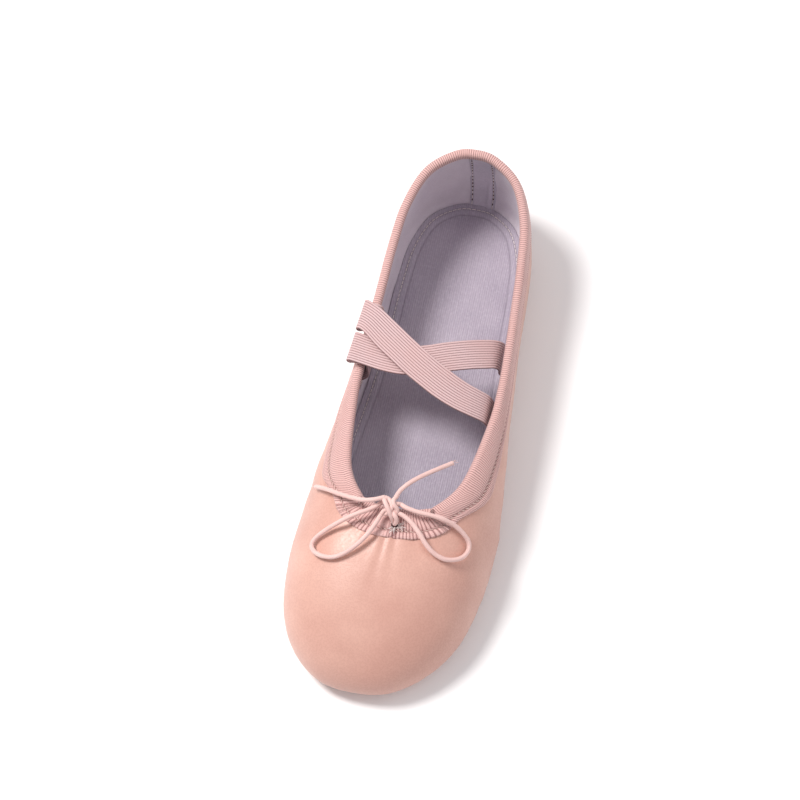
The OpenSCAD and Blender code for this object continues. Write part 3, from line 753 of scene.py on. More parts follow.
# Stitches: length, gap and radius of the thread, in mm
HEEL_STITCH, TAPE_STITCH, SOCK_STITCH = (2.3, 0.7, 0.22), (2.0, 1.2, 0.17), (1.6, 0.6, 0.16)
BINDING_STITCH, TACK_STITCH = (1.5, 0.5, 0.17), (1.5, 0.5, 0.2)


def pleat_relief(u, v):
    """Height (mm) of the gathers where the leather is drawn in under the toe and heel, and a mask that
    paints shade into their creases and a highlight on their puffs.
    """
    s = toe_distance(outline_of, u)[:, None] + np.zeros_like(v)
    draw = np.random.default_rng(31)
    height, mask = np.zeros_like(s), np.zeros_like(s)
    total = toe_distance(outline_of, np.array([HEEL - 1e-6]))[0]
    # Under the toe, then under the heel: middle (mm from the toe), count, pitch and strength
    for middle, count, pitch, strength in ((0.0, 17, 9.6, 1.0), (total, 7, 6.6, 0.55)):
        for k in range(count):
            place = middle + (k - (count - 1) / 2) * pitch + draw.uniform(-1.6, 1.6)
            deep = strength * draw.uniform(0.7, 1.15)
            reach = draw.uniform(0.85, 1.18)
            wander = draw.uniform(-1.6, 1.6)
            fade = deep * smooth(v / 0.08) * (1 - smooth((v - 0.35) / (reach - 0.38)))
            x = (s - place - wander * v + total) % (2 * total) - total
            line = np.exp(-(np.abs(x) / 1.15) ** 1.2)
            puff = hump(np.abs(x), pitch * 0.33, pitch * 0.30)
            height += fade * (0.45 * puff - 0.95 * line)
            # The mask paints shade along each crease line and a highlight on the puffs beside it.
            mask += fade * (line - 0.25 * puff)
    return np.clip(height, -0.85, 0.9), mask


def leather_relief(u, v, p):
    """Gathers under the edge, puckers below the throat, and the soft wrinkles of thin leather."""
    height, mask = pleat_relief(u, v)
    side = smooth((v - 0.6) / 0.6)
    height += side * (0.16 * ripples(p, 34, 3) + 0.05 * ripples(p, 9, 4))
    along = from_toe(u)[:, None]
    throat = hump(along, 0, 3.6) * smooth((v - 1.55) / 0.4)
    fan = np.sin(along * 6.1 + 1.2 * np.sin(along * 2.3)) * np.exp(-np.abs(2 - v) / 0.3)
    height += throat * 0.30 * fan
    # The mask paints a highlight on the raised puckers and shade in their dips.
    mask -= throat * 0.12 * fan
    ball = hump(np.abs(along), 6.6, 1.2) * smooth((v - 0.9) / 0.3) * (1 - smooth((v - 1.75) / 0.2))
    folds = np.sin(p[..., 1] * 0.34 + 0.2 * p[..., 2] + 2 * np.sin(p[..., 2] * 0.11))
    return height + 0.16 * ball * folds, mask


def leather_upper():
    """The vamp and quarters, as one skin from one heel seam round the toe to the other."""
    u, _ = even_u(outline_of, LEATHER_STEP, -LEATHER_END, LEATHER_END)
    v = np.concatenate([spans((-1, 0, 4), (0, 1, 19))[:-1], 1 + np.linspace(0, 1, 46) ** 0.96])
    base, normal = skin(u, v), skin_normals(u, v)
    height, mask = leather_relief(u, np.broadcast_to(v, base.shape[:2]), base)
    seam = 1 - smooth((LEATHER_END - np.abs(u)) / 0.3)[:, None]
    sunk = smooth(-v / 0.15)[None, :]
    height = (height - 0.22 * seam) * (1 - sunk)
    outer = base + normal * height[..., None]
    inner = base - normal * np.maximum(mix(UPPER_T, HEM_T, sunk), -height + 0.12)[..., None]
    build = Build()
    build.shell(ease_flex(u, v, outer), ease_flex(u, v, inner), False, grid_cloth(base), mask)
    obj = build.piece("upper_leather", LEATHER, "leather", sharp=60)
    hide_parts("vamp", "upper_flex_right", "upper_flex_left", "quarter_right", "quarter_left")
    bend_upper(obj)


def heel_strip():
    """The back strip, over both ends of the leather."""
    u, _ = even_u(outline_of, STRIP_STEP, *STRIP_SIDES)
    v = spans((-1, 0, 4), (0, 1, 16), (1, 2, 36))
    base, normal = skin(u, v), skin_normals(u, v)
    lift = mix(STRIP_OUT, STRIP_HELD, smooth((v - top_row(u, BIND_DEPTH)[:, None]) / 0.08))
    lift *= 1 - 0.5 * smooth((np.abs(u - HEEL) - 1.1) / 0.12)[:, None]
    lift *= smooth((v + 0.6) / 0.5)
    height, mask = pleat_relief(u, np.broadcast_to(v, base.shape[:2]))
    height = lift + 0.5 * height + 0.10 * ripples(base, 24, 11)
    build = Build()
    # The pleats' mask, halved, paints shade in the creases and a highlight on the puffs.
    build.shell(base + normal * height[..., None], base - normal * 0.5, False, grid_cloth(base), mask * 0.5)
    obj = build.piece("heel_leather_strip", LEATHER, "leather", sharp=50)
    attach(obj, "rearfoot")
    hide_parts("heel_strip")


def stitch_run(build, line, normals, stitch, slant=0.0):
    """Thread stitches over a line (n, 3) on a surface: each one rises, runs and dives back in."""
    long, gap, radius = stitch
    run = distance_along(line)
    sideways = unit(np.cross(unit(np.gradient(line, axis=0)), normals))
    rise = np.array([-1.1, 0.0, 0.5, 0.5, 0.0, -1.1])[:, None] * radius
    shift = np.linspace(-slant, slant, 6)[:, None]
    place = 0.5 * gap
    while place + long < run[-1]:
        spots = place + long * np.array([0, 0.12, 0.35, 0.65, 0.88, 1.0])
        p, n, t = (at_distance(spots, run, values) for values in (line, normals, sideways))
        build.tube(p + n * rise + t * shift, radius, 6)
        place += long + gap


def heel_seams():
    build = Build()
    for at in np.array([[HEEL - SEAM_OFF], [HEEL + SEAM_OFF]]):
        v = np.linspace(0.1, top_row(at, BIND_DEPTH)[0], 160)
        line, normal = skin(at, v)[0], skin_normals(at, v)[0]
        stitch_run(build, line + normal * 0.34, normal, HEEL_STITCH)
    obj = build.piece("heel_seam_stitches", THREAD, "thread")
    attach(obj, "rearfoot")


leather_upper()
heel_strip()
heel_seams()


# ---- cotton lining and heel tape
TAPE_SIDES, TAPE_SEWN = (14.05, 15.35), 0.12
NEEDLE_PITCH = TAPE_STITCH[0] + TAPE_STITCH[1]


def lining_depth(u, v, p):
    """Inward relief of the lining: soft folds down the walls, drawn tight at the heel."""
    wall = smooth((v - 0.35) / 0.4) * (1 - smooth((v - 1.8) / 0.2))
    slanted = np.sin(p[..., 1] * 0.16 + p[..., 2] * 0.24 + 1.4 * np.sin(p[..., 1] * 0.045))
    back = smooth((np.abs(from_toe(u)[:, None]) - 8.5) / 4)
    return wall * (0.22 * ripples(p, 26, 21) + 0.10 * ripples(p, 8, 22) + 0.25 * back * slanted)


def cotton_lining():
    u, _ = even_u(outline_of, LINING_STEP)
    u = u[:-1]
    v = spans((0, 1, 15), (1, 2, 36))
    base, normal = skin(u, v), skin_normals(u, v)
    seam = hump(u[:, None], HEEL, 0.035) * smooth((v - 0.3) / 0.2)
    depth = WALL_T + 0.05 + lining_depth(u, v, base) - 0.25 * seam
    inside = ease_flex(u, v, base - normal * depth[..., None])
    outside = ease_flex(u, v, base - normal * (LEATHER_T - 0.15))
    build = Build()
    # The mask paints shade into the heel seam's dip.
    build.shell(outside, inside, True, grid_cloth(base), seam * 0.6)
    obj = build.piece("lining_cotton", LINING, "lining_cotton")
    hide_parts("toe_lining", "lining_flex_right", "lining_flex_left", "lining_right", "lining_left")
    bend_upper(obj)


def heel_tape():
    """The panel sewn over the lining's heel seam, with a stitch line down each side."""
    left, right = TAPE_SIDES
    u = np.linspace(left, right, 40)
    v = spans((0.32, 1, 12), (1, 1.9, 40))
    base, normal = skin(u, v), skin_normals(u, v)
    across = u[:, None]
    rim = np.minimum(across - left, right - across)
    edge = smooth(rim / 0.07)
    shaded_groove = hump(rim, TAPE_SEWN, 0.035)
    fold = hump(across, left + 0.34, 0.13) * hump(v, 0.86, 0.24)
    pucker = 0.3 * np.sin(v * 11 + 0.6) * hump(across, left + 0.3, 0.3) * hump(v, 1.1, 0.3)
    relief = TAPE_T * (0.35 + 0.65 * edge) + 0.12 * ripples(base, 10, 41) * edge + pucker
    depth = WALL_T + 0.15 + relief - 0.4 * shaded_groove + 1.5 * fold
    build = Build()
    # The mask paints shade into the stitch grooves and along the tape's edges.
    build.shell(base - normal * (WALL_T - 0.1), base - normal * depth[..., None], False,
                grid_cloth(base), 0.95 * shaded_groove + 0.25 * (1 - edge))
    obj = build.piece("heel_tape_cotton", TAPE, "heel_tape")
    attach(obj, "rearfoot")
    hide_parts("heel_tape")
    rows, holes = Build(), Build()
    for at in np.array([[left + TAPE_SEWN], [right - TAPE_SEWN]]):
        line_v = np.linspace(0.5, 1.86, 120)
        inward = -skin_normals(at, line_v)[0]
        path = skin(at, line_v)[0] + inward * (WALL_T + 0.42)
        stitch_run(rows, path, inward, TAPE_STITCH)
        run = distance_along(path)
        spots = np.arange(NEEDLE_PITCH, run[-1], NEEDLE_PITCH)
        for middle, way in zip(at_distance(spots, run, path), at_distance(spots, run, inward)):
            # Dark dots of painted shade stand for the needle holes.
            holes.tube([middle - way * 0.3, middle + way * 0.02, middle + way * 0.12], [0.42, 0.42, 0.3], 8)
    stitches = rows.piece("heel_tape_stitches", PALE_THREAD, "thread")
    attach(stitches, "rearfoot")
    needle = holes.piece("heel_tape_needle_holes", HOLE_SHADE, "thread")
    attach(needle, "rearfoot")


cotton_lining()
heel_tape()


# ---- sole
SPINE_FRONT, SPINE_BACK = -78.0, 92.0
STITCH_INSET, STITCH_PITCH, STITCH_POINTS = 5.0, 4.2, 7
SOCK_INSET, SOCK_FILL = 1.4, 9


def sole_rows(u, rows, spine_z0, spine_z1, fill, outward=0.0):
    """A closed skin for a flat layer. rows are (inset, z) from the top face's edge round to the
    bottom's, and each face is filled in to a line down the middle of the sole."""
    c = column(u)
    inward = c["inward"][:, :2]
    edge = c["sole"][:, :2] - inward * np.reshape(outward, (-1, 1))
    flat = [np.concatenate([edge + inset * inward, np.full((len(u), 1), z)], 1) for inset, z in rows]

    def spread(start, z):
        target = np.stack([np.zeros(len(u)), np.clip(start[:, 1] * 0.98, SPINE_FRONT, SPINE_BACK),
                           np.full(len(u), z)], 1)
        return [mix(start, target, f) for f in np.linspace(0, 1, fill + 1)[1:]]

    grid = spread(flat[0], spine_z0)[::-1] + flat + spread(flat[-1], spine_z1)
    return straighten(u, np.stack(grid, 1))


def sole_line(u, inset=0.0):
    """Points on the sole's face, inset mm in from its edge."""
    c = column(u)
    return c["sole"] + np.reshape(inset, (-1, 1)) * c["inward"]


def reach_to_lining(u, z):
    """How far the lining's inside stands out from the sole's edge at height z, in mm."""
    v = np.linspace(0.02, 1, 40)
    wall = skin(u, v) - skin_normals(u, v) * (WALL_T + 0.1)
    c = column(u)
    out = -((wall - c["sole"][:, None]) * c["inward"][:, None]).sum(-1)
    return np.array([np.interp(z, wall[i, :, 2], out[i]) for i in range(len(u))])


def suede_outsole():
    u, _ = even_u(lambda u: sole_line(u, STITCH_INSET), STITCH_PITCH, per=STITCH_POINTS)
    u = u[:-1]
    top_face = [(1.0, OUTSOLE_T), (0.35, OUTSOLE_T), (0.05, OUTSOLE_T - 0.15), (-0.1, OUTSOLE_T * 0.6),
                (-0.05, 0.35), (0.15, 0.12)]
    worn_face = [(0.5, 0.0), (1.0, 0.0), (1.7, 0.0), (2.5, 0.0), (3.3, 0.0), (4.0, 0.0), (4.45, 0.05),
                 (4.75, 0.18), (5.0, 0.24), (5.25, 0.18), (5.6, 0.05), (6.2, 0.0), (7.2, 0.0),
                 (8.6, 0.0), (10.5, 0.0)]
    fill = 9
    grid = sole_rows(u, top_face + worn_face, OUTSOLE_T, 0.0, fill)
    step = np.arange(len(u))[:, None] % STITCH_POINTS
    inset = np.concatenate([np.full(fill, 30.0), [r[0] for r in top_face + worn_face],
                            np.linspace(11, 40, fill)])
    bottom = np.arange(len(inset)) >= fill + len(top_face)
    dent = (step == 0) * hump(inset, STITCH_INSET, 0.33) * bottom
    puff = (0.5 - 0.5 * np.cos(step / STITCH_POINTS * 2 * math.pi)) * hump(inset, STITCH_INSET, 1.1)
    nap = smooth(inset / 1.0) * 0.05 * (1 + ripples(grid, 7, 61))
    furrow = 0.12 * (1 - puff) * (inset > 3) * (inset < 7)
    grid[..., 2] += 0.75 * dent + bottom * (furrow + nap)
    # Mask: painted shade in the stitch dents, and a lighter rim along the edge.
    mask = np.clip(dent * 1.4 - 0.8 * hump(inset, 0.2, 0.55), -1, 1)
    build = Build()
    build.ring_grid(grid[:, ::-1], grid[:, ::-1, :2], mask[:, ::-1])
    obj = build.piece("outsole_suede_patch", SUEDE, "outsole_suede", weld=True)
    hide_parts("outsole_forefoot", "outsole_rear")
    bend_sole(obj)

    build = Build()
    path = straighten(u, sole_line(u, STITCH_INSET))
    path[:, 2] = 0.2
    ends = np.arange(STITCH_POINTS + 1)
    for first in range(0, len(u), STITCH_POINTS):
        p = path[(first + ends) % len(u)]
        p[:, 2] += [0.85, 0.12, -0.02, -0.05, -0.05, -0.02, 0.12, 0.85]
        build.tube(p, [0.2, 0.27, 0.3, 0.3, 0.3, 0.3, 0.27, 0.2], 7)
    thread = build.piece("outsole_stitches", THREAD, "thread")
    bend_sole(thread)


def sock_liner():
    u, _ = even_u(sole_line, SOCK_STEP)
    u = u[:-1]
    low, top = SOCK_Z, SOCK_Z + SOCK_T
    rim, plain = top + SOCK_RIM_H, SOCK_INSET + SOCK_RIM_W
    upper = [(plain + 3, top), (plain + 1.2, top), (plain + 0.5, top - 0.1), (plain, top + 0.05),
             (plain - 0.4, rim - 0.12), (plain - 1, rim), (5.2, rim + 0.02), (4.4, rim - 0.18),
             (3.6, rim + 0.02), (2.6, rim + 0.05), (2.0, rim), (1.55, rim - 0.2), (1.4, low + 0.6)]
    lower = [(1.4, low + 0.25), (1.7, low), (3.0, low)]
    outward = reach_to_lining(u, rim) + SOCK_INSET - 0.25
    grid = sole_rows(u, upper + lower, top, low, SOCK_FILL, outward)
    inset = np.concatenate([np.linspace(38, 11, SOCK_FILL), [r[0] for r in upper + lower],
                            np.full(SOCK_FILL, 30.0)])
    up = np.arange(len(inset)) < SOCK_FILL + len(upper)
    soft = 0.14 * ripples(grid, 30, 71) + 0.05 * ripples(grid, 9, 72)
    foot = 0.35 * hump(grid[..., 1], 84, 26) * hump(grid[..., 0], 0, 14)
    grid[..., 2] += up * smooth((inset - 2) / 3) * (soft - foot)
    # The mask paints shade into the rim's stitch grooves and along the sock's edge at the lining.
    shaded_groove = hump(inset, 4.4, 0.35) * 0.55 + hump(inset, plain + 0.45, 0.4) * 0.5
    build = Build()
    mask = shaded_groove * up + hump(inset, SOCK_INSET, 0.25) * 0.5
    build.ring_grid(grid, grid[..., :2], np.broadcast_to(mask, grid.shape[:2]))
    obj = build.piece("sock_liner_cotton", SOCK, "sock_cotton", weld=True)
    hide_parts("sock_liner_forefoot", "sock_liner_rear", "insole_flex")
    bend_sole(obj)

    build = Build()
    line = sole_line(np.append(u, u[0]), 4.4 - np.append(outward, outward[0]))
    line[:, 2] = rim - 0.02
    line = straighten(np.append(u, 0), line)
    stitch_run(build, line, np.broadcast_to([0.0, 0.0, 1.0], line.shape), SOCK_STITCH)
    thread = build.piece("sock_stitches", PALE_THREAD, "thread")
    bend_sole(thread)


def foam_cushion():
    u, _ = even_u(sole_line, FOAM_STEP)
    u = u[:-1]
    top, low = SOCK_Z - 0.02, FOAM_Z + 0.02
    rows = [(3.4, top), (2.8, top - 0.1), (2.45, top - 0.5), (2.4, (top + low) / 2), (2.45, low + 0.5),
            (2.8, low + 0.1), (3.4, low)]
    grid = sole_rows(u, rows, top, low, 6)
    build = Build()
    build.ring_grid(grid, grid[..., :2])
    obj = build.piece("insole_foam", FOAM, "foam", weld=True)
    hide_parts("foam_forefoot", "foam_rear")
    bend_sole(obj)


suede_outsole()
foam_cushion()
sock_liner()
for node, finish in (("insole_board_forefoot", BOARD), ("insole_board_rear", BOARD),
                     ("sole_thread_forefoot", SEWN), ("sole_thread_rear", SEWN)):
    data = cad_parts[node].data
    data.materials.clear()
    data.materials.append(finish)


# ---- binding and drawcord
RIB_PITCH, RIB_POINTS = 0.92, 5
HOLE_X, HOLE_U, HOLE_DOWN = 1.5, 0.38, 4.4
SEAM_DOWN = 6.5
FRAYED_THREADS = 24


def top_frame(u):
    """Topline point, outward normal, and the way up out of the wall, square to the topline."""
    top = topline_of(u)
    normal = skin_normals(u, np.array([1.999]))[:, 0]
    along = topline_of(u + 0.02) - topline_of(u - 0.02)
    return top, normal, unit(np.cross(normal, along))


def binding_leg(u, down, out):
    """Points (n, 3) down mm below the topline and out mm from the leather's outside."""
    v = top_row(u, down)[:, None]
    return skin(u, v)[:, 0] + skin_normals(u, v)[:, 0] * np.reshape(out, (-1, 1))


def roll_centre(u):
    top, normal, up = top_frame(u)
    return top - normal * (WALL_T / 2) + up * ROLL_LIFT


# Section of the binding, from the outside flange over the roll to the inside: each row is either
# a place down the outside or inside leg (mm down, mm out), or an angle round the roll
OUT_LEG = [(9.7, 0.30), (9.6, 0.62), (9.1, 0.82), (8.3, 0.88), (7.5, 0.78), (6.95, 0.52), (SEAM_DOWN, 0.34),
           (6.05, 0.52), (5.5, 0.86), (4.6, 1.04), (3.5, 1.12), (2.4, 1.14), (1.2, 1.12), (0.4, 1.08)]
ROLL_ANGLES = np.radians([8, 28, 48, 68, 90, 112, 132, 152, 172])
IN_LEG = [(0.6, -2.82), (1.5, -2.7), (2.3, -2.45), (2.7, -2.15)]


def knit_binding():
    u, run = even_u(roll_centre, RIB_PITCH / RIB_POINTS)
    ribs = round(run[-1] / RIB_PITCH)
    u, run = u[:-1], run[:-1]
    pitch = (run[-1] + run[1]) / ribs
    s = toe_distance(roll_centre, u)
    along = run + 0.25 * np.sin(run * 0.21) + 0.12 * np.sin(run * 0.83 + 1)
    tuck = 0.22 * np.sin(s * 2 * math.pi / 4.3 + 0.9 * np.sin(s * 0.9)) * hump(s, 0, 17)
    plain = 0.8 * np.exp(-((s + 2.6) / 2.2) ** 4)
    crown = mix(smooth(np.abs(np.cos(math.pi * along / pitch))), 0.75, plain)
    rib = 0.18 * (1 - plain) * (crown - 0.6)
    _, normal, up = top_frame(u)
    centre = roll_centre(u)
    slit = hump(s, HOLE_X, 0.75)

    def outside_row(down, out):
        """A row of the outside leg: ribbed, drawn into tucks at the throat and opened at the hole."""
        sewn = 0.35 if abs(down - SEAM_DOWN) < 0.3 else 1.0
        edge = down > 8.9
        wobble = edge * (0.12 * np.sin(s * 0.37 + down) + 0.35 * tuck * smooth(down / 6))
        out = out + rib * sewn + 0.28 * tuck * smooth((8 - down) / 6)
        out = out - 0.55 * slit * smooth((down - 1.5) / 3)
        return binding_leg(u, down * (1 - 0.10 * slit * (down > 8)) + wobble, out)

    def roll_row(angle, radius):
        return centre + np.reshape(radius, (-1, 1)) * (math.cos(angle) * normal + math.sin(angle) * up)

    outer = [outside_row(down, out) for down, out in OUT_LEG]
    outer += [roll_row(a, ROLL_OUT - 0.02 + rib + 0.16 * tuck) for a in ROLL_ANGLES]
    outer += [binding_leg(u, down, out - 0.5 * rib) for down, out in IN_LEG]
    inner = [binding_leg(u, 9.6, 0.0)] + [binding_leg(u, down, 0.05) for down, _ in OUT_LEG[1:]]
    inner += [roll_row(a, ROLL_IN) for a in ROLL_ANGLES]
    inner += [binding_leg(u, down, -2.0) for down, _ in IN_LEG]
    # The mask paints shade into the rib grooves, the seam's groove and round the hole's slit.
    mask = [crown * (1 - 0.75 * hump(down, SEAM_DOWN, 0.45)) - 0.5 * slit * smooth((down - 2) / 2)
            for down, _ in OUT_LEG]
    mask += [crown] * (len(ROLL_ANGLES) + len(IN_LEG))
    outer = np.stack(outer, 1)
    cloth = grid_cloth(outer)
    cloth[..., 0] = run[:, None]
    build = Build()
    build.shell(outer, np.stack(inner, 1), True, cloth, np.clip(np.stack(mask, 1), 0, 1))
    obj = build.piece("binding_ribbed", BINDING, "binding_knit")
    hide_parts("binding_throat", "binding_rear", "binding_flex_right", "binding_flex_left")
    bend_upper(obj)


def binding_seam():
    """The zigzag that holds the binding down, in the groove above its loose flange."""
    build = Build()
    u, _ = even_u(topline_of, 0.6)
    normal = skin_normals(u, top_row(u, SEAM_DOWN)[:, None])[:, 0]
    stitch_run(build, binding_leg(u, SEAM_DOWN, 0.52), normal, BINDING_STITCH, slant=0.45)
    obj = build.piece("binding_stitches", THREAD, "thread")
    bend_upper(obj)


def casing_cord():
    """The closed ring of drawcord inside the binding's roll."""
    step, radius = 2.0, 0.85
    u, _ = even_u(roll_centre, step)
    path = roll_centre(u[:-1])
    n, sides = len(path), 8
    along = unit(np.roll(path, -1, 0) - np.roll(path, 1, 0))
    side = unit(np.cross(along, np.array([0, 0, 1.0])))
    other = np.cross(along, side)
    angle = np.arange(sides) * 2 * math.pi / sides
    ring = path[:, None] + radius * (np.cos(angle)[None, :, None] * side[:, None]
                                     + np.sin(angle)[None, :, None] * other[:, None])
    at = np.arange(n * sides).reshape(n, sides)
    down, across = np.roll(at, -1, 0), np.roll(at, -1, 1)
    both = np.roll(down, -1, 1)
    build = Build()
    cloth = np.stack(np.broadcast_arrays(np.arange(n)[:, None] * step, angle[None] * radius), -1)
    build.add(ring, quads(at, across, both, down), cloth)
    obj = build.piece("casing_drawcord", CORD, "cord_elastic")
    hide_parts("drawcord")
    bend_upper(obj)


knit_binding()
binding_seam()
casing_cord()


# ---- knot, hole and frayed threads
def bow_knot():
    """The tied cord, as strands that cross over the knot's middle."""
    build = Build()
    strands = [
        [(-3.4, 3.4, 1.0), (-2.8, 1.9, 2.5), (-1.4, -0.4, 3.1), (0.2, -2.4, 2.4), (1.5, -3.9, 0.6),
         (2.4, -4.7, -1.6), (2.8, -5.0, -3.6)],
        [(-3.8, 1.4, 0.0), (-1.8, 1.6, 0.9), (0.4, 1.2, 1.2), (2.4, 1.6, 0.9), (3.8, 2.0, 0.0)],
        [(-2.7, -3.5, -0.4), (-1.8, -2.0, 0.3), (0.2, -1.4, 0.8), (2.2, -1.5, 0.5), (4.0, -1.8, -0.2)],
        [(-2.8, 2.9, 2.4), (-1.2, 2.6, 1.9), (0.2, 1.0, 2.1), (0.9, -0.8, 2.0), (0.4, -2.4, 0.9),
         (-1.0, -3.0, -0.8)],
        [(1.4, 3.6, 2.0), (0.9, 2.0, 2.5), (1.6, 0.2, 2.5), (3.0, -0.7, 1.4), (3.2, -2.0, 0.0),
         (2.4, -2.6, -1.6)],
        [(1.6, -2.4, 0.6), (2.8, -3.5, 1.0), (3.8, -4.5, 0.1), (3.9, -5.3, -1.5), (3.3, -5.4, -3.4)],
        [(0, 0, 0.4), (0, -0.1, -1.5), (0, -0.2, -3.2)]]
    for points in strands:
        build.tube(resample(KNOT + np.array(points), 0.4), CORD_D / 2 * 0.97, 12)
    obj = build.piece("bow_knot_strands", CORD, "cord_elastic")
    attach(obj, "forefoot")
    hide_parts("bow_knot")


def casing_hole():
    """The worked hole in the binding that the drawcord comes out of, and its loose threads."""
    centre_u = np.array([HOLE_U])
    middle = binding_leg(centre_u, HOLE_DOWN, 1.1)[0]
    _, normal, up = (x[0] for x in top_frame(centre_u))
    side = unit(np.cross(up, normal))
    n = 24
    angle = np.arange(n) * 2 * math.pi / n
    wobble = (1 + 0.16 * np.sin(3 * angle + 1) + 0.1 * np.sin(5 * angle))[:, None]
    rim = wobble * (np.cos(angle)[:, None] * side * 1.35 + np.sin(angle)[:, None] * up)
    rings = ((1.25, -0.1), (1.15, 0.12), (0.9, 0.1), (0.6, -0.25), (0.02, -0.4))
    grid = np.stack([middle + rim * size + normal * lift for size, lift in rings], 1)
    build = Build()
    # A dark cup in painted shade stands for the inside of the hole.
    build.shell(grid, mix(middle - normal * 0.6, grid, 0.35) - normal * 0.3, True, grid[..., :2])
    hole = build.piece("casing_hole", HOLE_SHADE, "thread", weld=True)
    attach(hole, "forefoot")

    draw = np.random.default_rng(77)
    build = Build()
    for _ in range(FRAYED_THREADS):
        a = draw.uniform(-2.4, 0.5)
        root = middle + (math.cos(a) * side * 1.5 + math.sin(a) * up * 1.1) + normal * 0.25
        lean = unit(math.cos(a) * side + math.sin(a) * up + normal * 0.35 + draw.normal(scale=0.45, size=3))
        bend = draw.normal(scale=0.5, size=3)
        way = lean * draw.uniform(1.4, 3.2)
        tips = [root, root + way * 0.35 + 0.2 * bend, root + way * 0.7 + 0.7 * bend,
                root + way + 1.3 * bend - normal * 0.3]
        # No thread dips into the knit
        tips = [t + normal * max(0.0, 0.2 - float((t - middle) @ normal)) for t in tips]
        build.tube(resample(tips, 0.3), 0.10, 5)
    threads = build.piece("casing_frayed_threads", PALE_THREAD, "thread")
    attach(threads, "forefoot")


bow_knot()
casing_hole()

# ---- straps
# Each row is the strap's heel-side edge, then its toe-side edge
STRAPS = {
    "front": [
        (-29.7, 38.9, 17, -30.3, 25.3, 17), (-29.5, 38.9, 24, -30.1, 25.3, 24),
        (-26.5, 38.7, 31, -26.9, 25.1, 30), (-26.3, 38.7, 38, -26.9, 25.1, 37),
        (-26.6, 38.5, 42.3, -27.1, 24.9, 41.7), (-28.9, 38.5, 44.3, -29.7, 24.9, 43.7),
        (-31.4, 38.5, 44.4, -32.5, 24.9, 43.7), (-32.7, 38.5, 43.9, -33.8, 24.9, 43.1),
        (-33.5, 38.5, 44.8, -34.8, 24.9, 44.1), (-32.7, 38.5, 45.8, -34.1, 24.9, 45.1),
        (-26.2, 34.7, 47.2, -31, 22.6, 47), (-18.6, 29.2, 47.4, -24.4, 17.1, 47.1),
        (-11.4, 24, 47.3, -17.6, 12.2, 47.2), (-4.4, 19.2, 47, -10.6, 7.3, 47),
        (2.6, 15, 46.2, -3.4, 3.1, 46.4), (9.4, 11.6, 44.9, 4.2, -0.8, 45.3),
        (15.6, 9.2, 43.1, 12.2, -3.6, 43.8), (21, 8, 40.8, 19.4, -4.9, 41.9),
        (25.2, 7.6, 37.8, 25, -5.2, 38.8), (27.25, 7.6, 33, 27.35, -5.2, 33.8),
        (27.8, 7.6, 29.4, 28.1, -5.2, 29.6), (30.9, 7.6, 24, 31.8, -5.2, 24),
        (31.5, 7.6, 17, 32.6, -5.2, 17)],
    "back": [
        (-30.7, 23.8, 17, -31.6, 10.2, 17), (-30.5, 23.8, 24, -31.4, 10.2, 24),
        (-27.1, 23.8, 30, -27.5, 10.2, 30), (-27, 23.8, 37, -27.2, 10.2, 36.8),
        (-27.3, 23.6, 41.5, -27.5, 10, 41.2), (-29.8, 23.6, 43.3, -30.2, 10, 43),
        (-32.5, 23.6, 43.3, -32.9, 10, 43), (-33.8, 23.6, 42.7, -34.4, 10, 42.4),
        (-34.6, 23.5, 43.7, -35.4, 9.9, 43.3), (-33.8, 23.3, 44.6, -34.8, 9.9, 44.2),
        (-27.2, 21.7, 45, -28.6, 8.7, 44.9), (-19.2, 20.6, 45.3, -19.9, 7.2, 45.2),
        (-11.8, 20.5, 45.2, -10.9, 7.1, 45.1), (-4.4, 22.5, 44.6, -0.4, 9.7, 44.5),
        (3.2, 25.9, 43.5, 8.2, 13.5, 43), (11, 29.3, 41.7, 15.8, 16.8, 41),
        (17.6, 32.1, 39.3, 21.4, 19.3, 38.7), (23.2, 34.4, 36.4, 25, 21.3, 36.2),
        (26.35, 35.4, 33, 26.85, 22.2, 32.6), (26.6, 35.4, 29.4, 27.1, 22.2, 29.2),
        (29.4, 35.4, 24, 30.2, 22.2, 24), (29.6, 35.4, 17, 30.6, 22.2, 17)]}
STRAP_W, STRAP_RIBS, RIB_STEPS = 13.4, 12, 6
FOLD_ROWS, FOLD_DROP = slice(5, 9), 0.7


def strap(which):
    """One crossed strap: a ribbed band between its two edges, sewn in the walls at both ends."""
    rows = np.array(STRAPS[which], float)
    rows[FOLD_ROWS, 2::3] -= FOLD_DROP
    fine = resample(rows, 0.9)
    heel_edge, toe_edge = fine[:, :3], fine[:, 3:]
    middle = (heel_edge + toe_edge) / 2
    up = unit(np.cross(unit(np.gradient(middle, axis=0)), heel_edge - toe_edge))[:, None]
    run = distance_along(middle)[:, None]
    across = np.linspace(0, 1, STRAP_RIBS * RIB_STEPS + 1)
    crown = np.abs(np.sin(math.pi * across * STRAP_RIBS)) ** 0.7
    edge = smooth(np.minimum(across, 1 - across) / 0.02)
    face = mix(heel_edge[:, None], toe_edge[:, None], across[None, :, None])
    half = (STRAP_T / 2 - 0.16 + 0.20 * crown) * (0.35 + 0.65 * edge) + 0.03 * np.sin(run * math.pi / 0.9)
    bow = 0.12 * np.sin(run * 0.23) * (across - 0.5)
    top = face + up * (half + bow)[..., None]
    low = face - up * (half - bow)[..., None]
    cloth = np.stack(np.broadcast_arrays(run, across * STRAP_W), -1)
    build = Build()
    # The mask paints shade into the rib grooves and along both edges.
    build.shell(top[:, ::-1], low[:, ::-1], False, cloth, crown * edge)
    obj = build.piece(f"strap_{which}_elastic", STRAP, "strap_elastic")
    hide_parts(f"strap_{which}_left_end", f"strap_{which}_span", f"strap_{which}_right_end")
    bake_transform(obj)


strap("front")
strap("back")


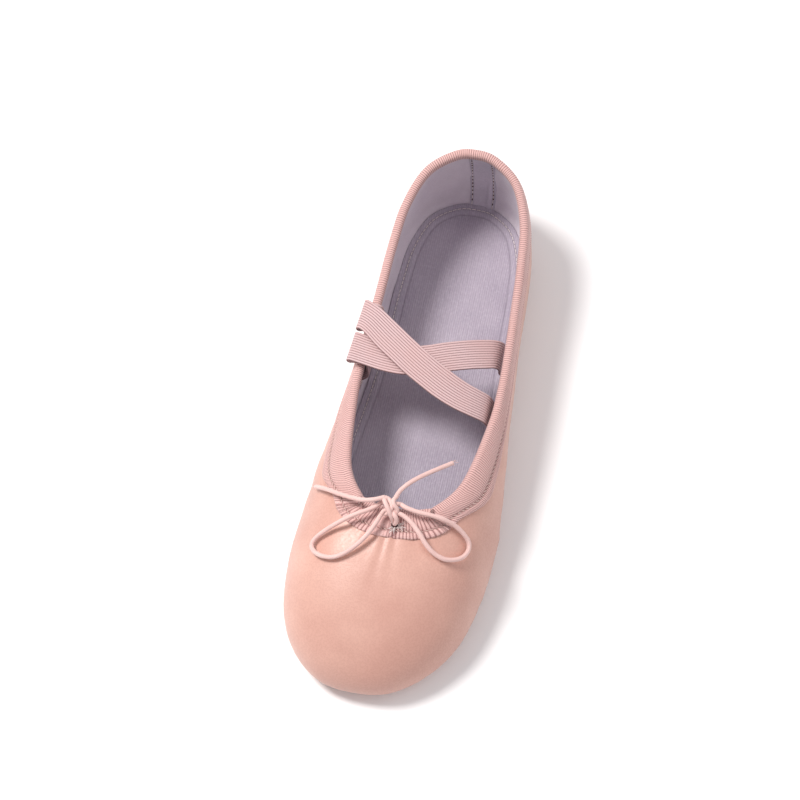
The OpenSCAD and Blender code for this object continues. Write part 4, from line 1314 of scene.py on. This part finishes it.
# Middle of each tack (x, y) and its turn in degrees
TACKS = [(-29.91, 32.1, -2.5), (-31.06, 17, -3.8), (31.75, 1.2, 4.5), (29.97, 28.8, 4)]


def strap_tacks():
    """Two short rows of stitches through each strap's sewn end."""
    build = Build()
    for x, y, turn in TACKS:
        a = math.radians(turn)
        way = np.array([-math.sin(a), math.cos(a), 0])
        inward = np.array([-math.copysign(1, x), 0, 0])
        for z in (19.2, 21.0):
            line = np.array([x, y, z]) + way * np.linspace(-5.6, 5.6, 40)[:, None] + inward * 0.62
            stitch_run(build, line, np.broadcast_to(inward, line.shape), TACK_STITCH)
    obj = build.piece("strap_tack_stitches", PALE_THREAD, "thread")
    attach(obj, "rearfoot")
    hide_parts("strap_stitching")


strap_tacks()


# ---- floor and light
FLOOR_HALF, FLOOR_DROP = 3.0, 0.0002
LIT_POINT = np.array([0, 0, 0.02])


def stage():
    mesh = bpy.data.meshes.new("floor")
    corners = [(-1, -1), (1, -1), (1, 1), (-1, 1)]
    mesh.from_pydata([(x * FLOOR_HALF, y * FLOOR_HALF, 0) for x, y in corners], [], [(0, 1, 2, 3)])
    m = Finish("floor_pale", Specular_IOR_Level=0.1)
    tone = m.noise(m.solid_mm(), 160.0, 2.0)
    mesh.materials.append(m.finish(m.blend(tone, srgb(252, 251, 250), srgb(247, 246, 246)), 0.9))
    floor = new_object("floor", mesh)
    floor.location.z = -FLOOR_DROP


def area_light(name, place, size, power, colour):
    """A round lamp that faces the slipper."""
    data = bpy.data.lights.new(name, "AREA")
    data.shape = "DISK"
    data.size, data.energy, data.color = size, power, colour
    place = np.array(place, float)
    back = unit(place - LIT_POINT)
    right = unit(np.cross(np.array([0, 0, 1.0]), back))
    new_object(name, data).matrix_world = placed(right, np.cross(back, right), back, place)


stage()
area_light("key", (-0.62, 0.10, 1.12), 0.42, 15.5, (1.0, 0.985, 0.97))
area_light("fill", (0.85, 0.05, 1.0), 1.1, 3.0, (1.0, 0.99, 0.99))
world = bpy.data.worlds.new("studio")
world.use_nodes = True
world.node_tree.nodes["Background"].inputs["Color"].default_value = (0.96, 0.96, 1.0, 1)
world.node_tree.nodes["Background"].inputs["Strength"].default_value = 0.55
bpy.context.scene.world = world
bpy.context.scene.view_settings.view_transform = "Standard"
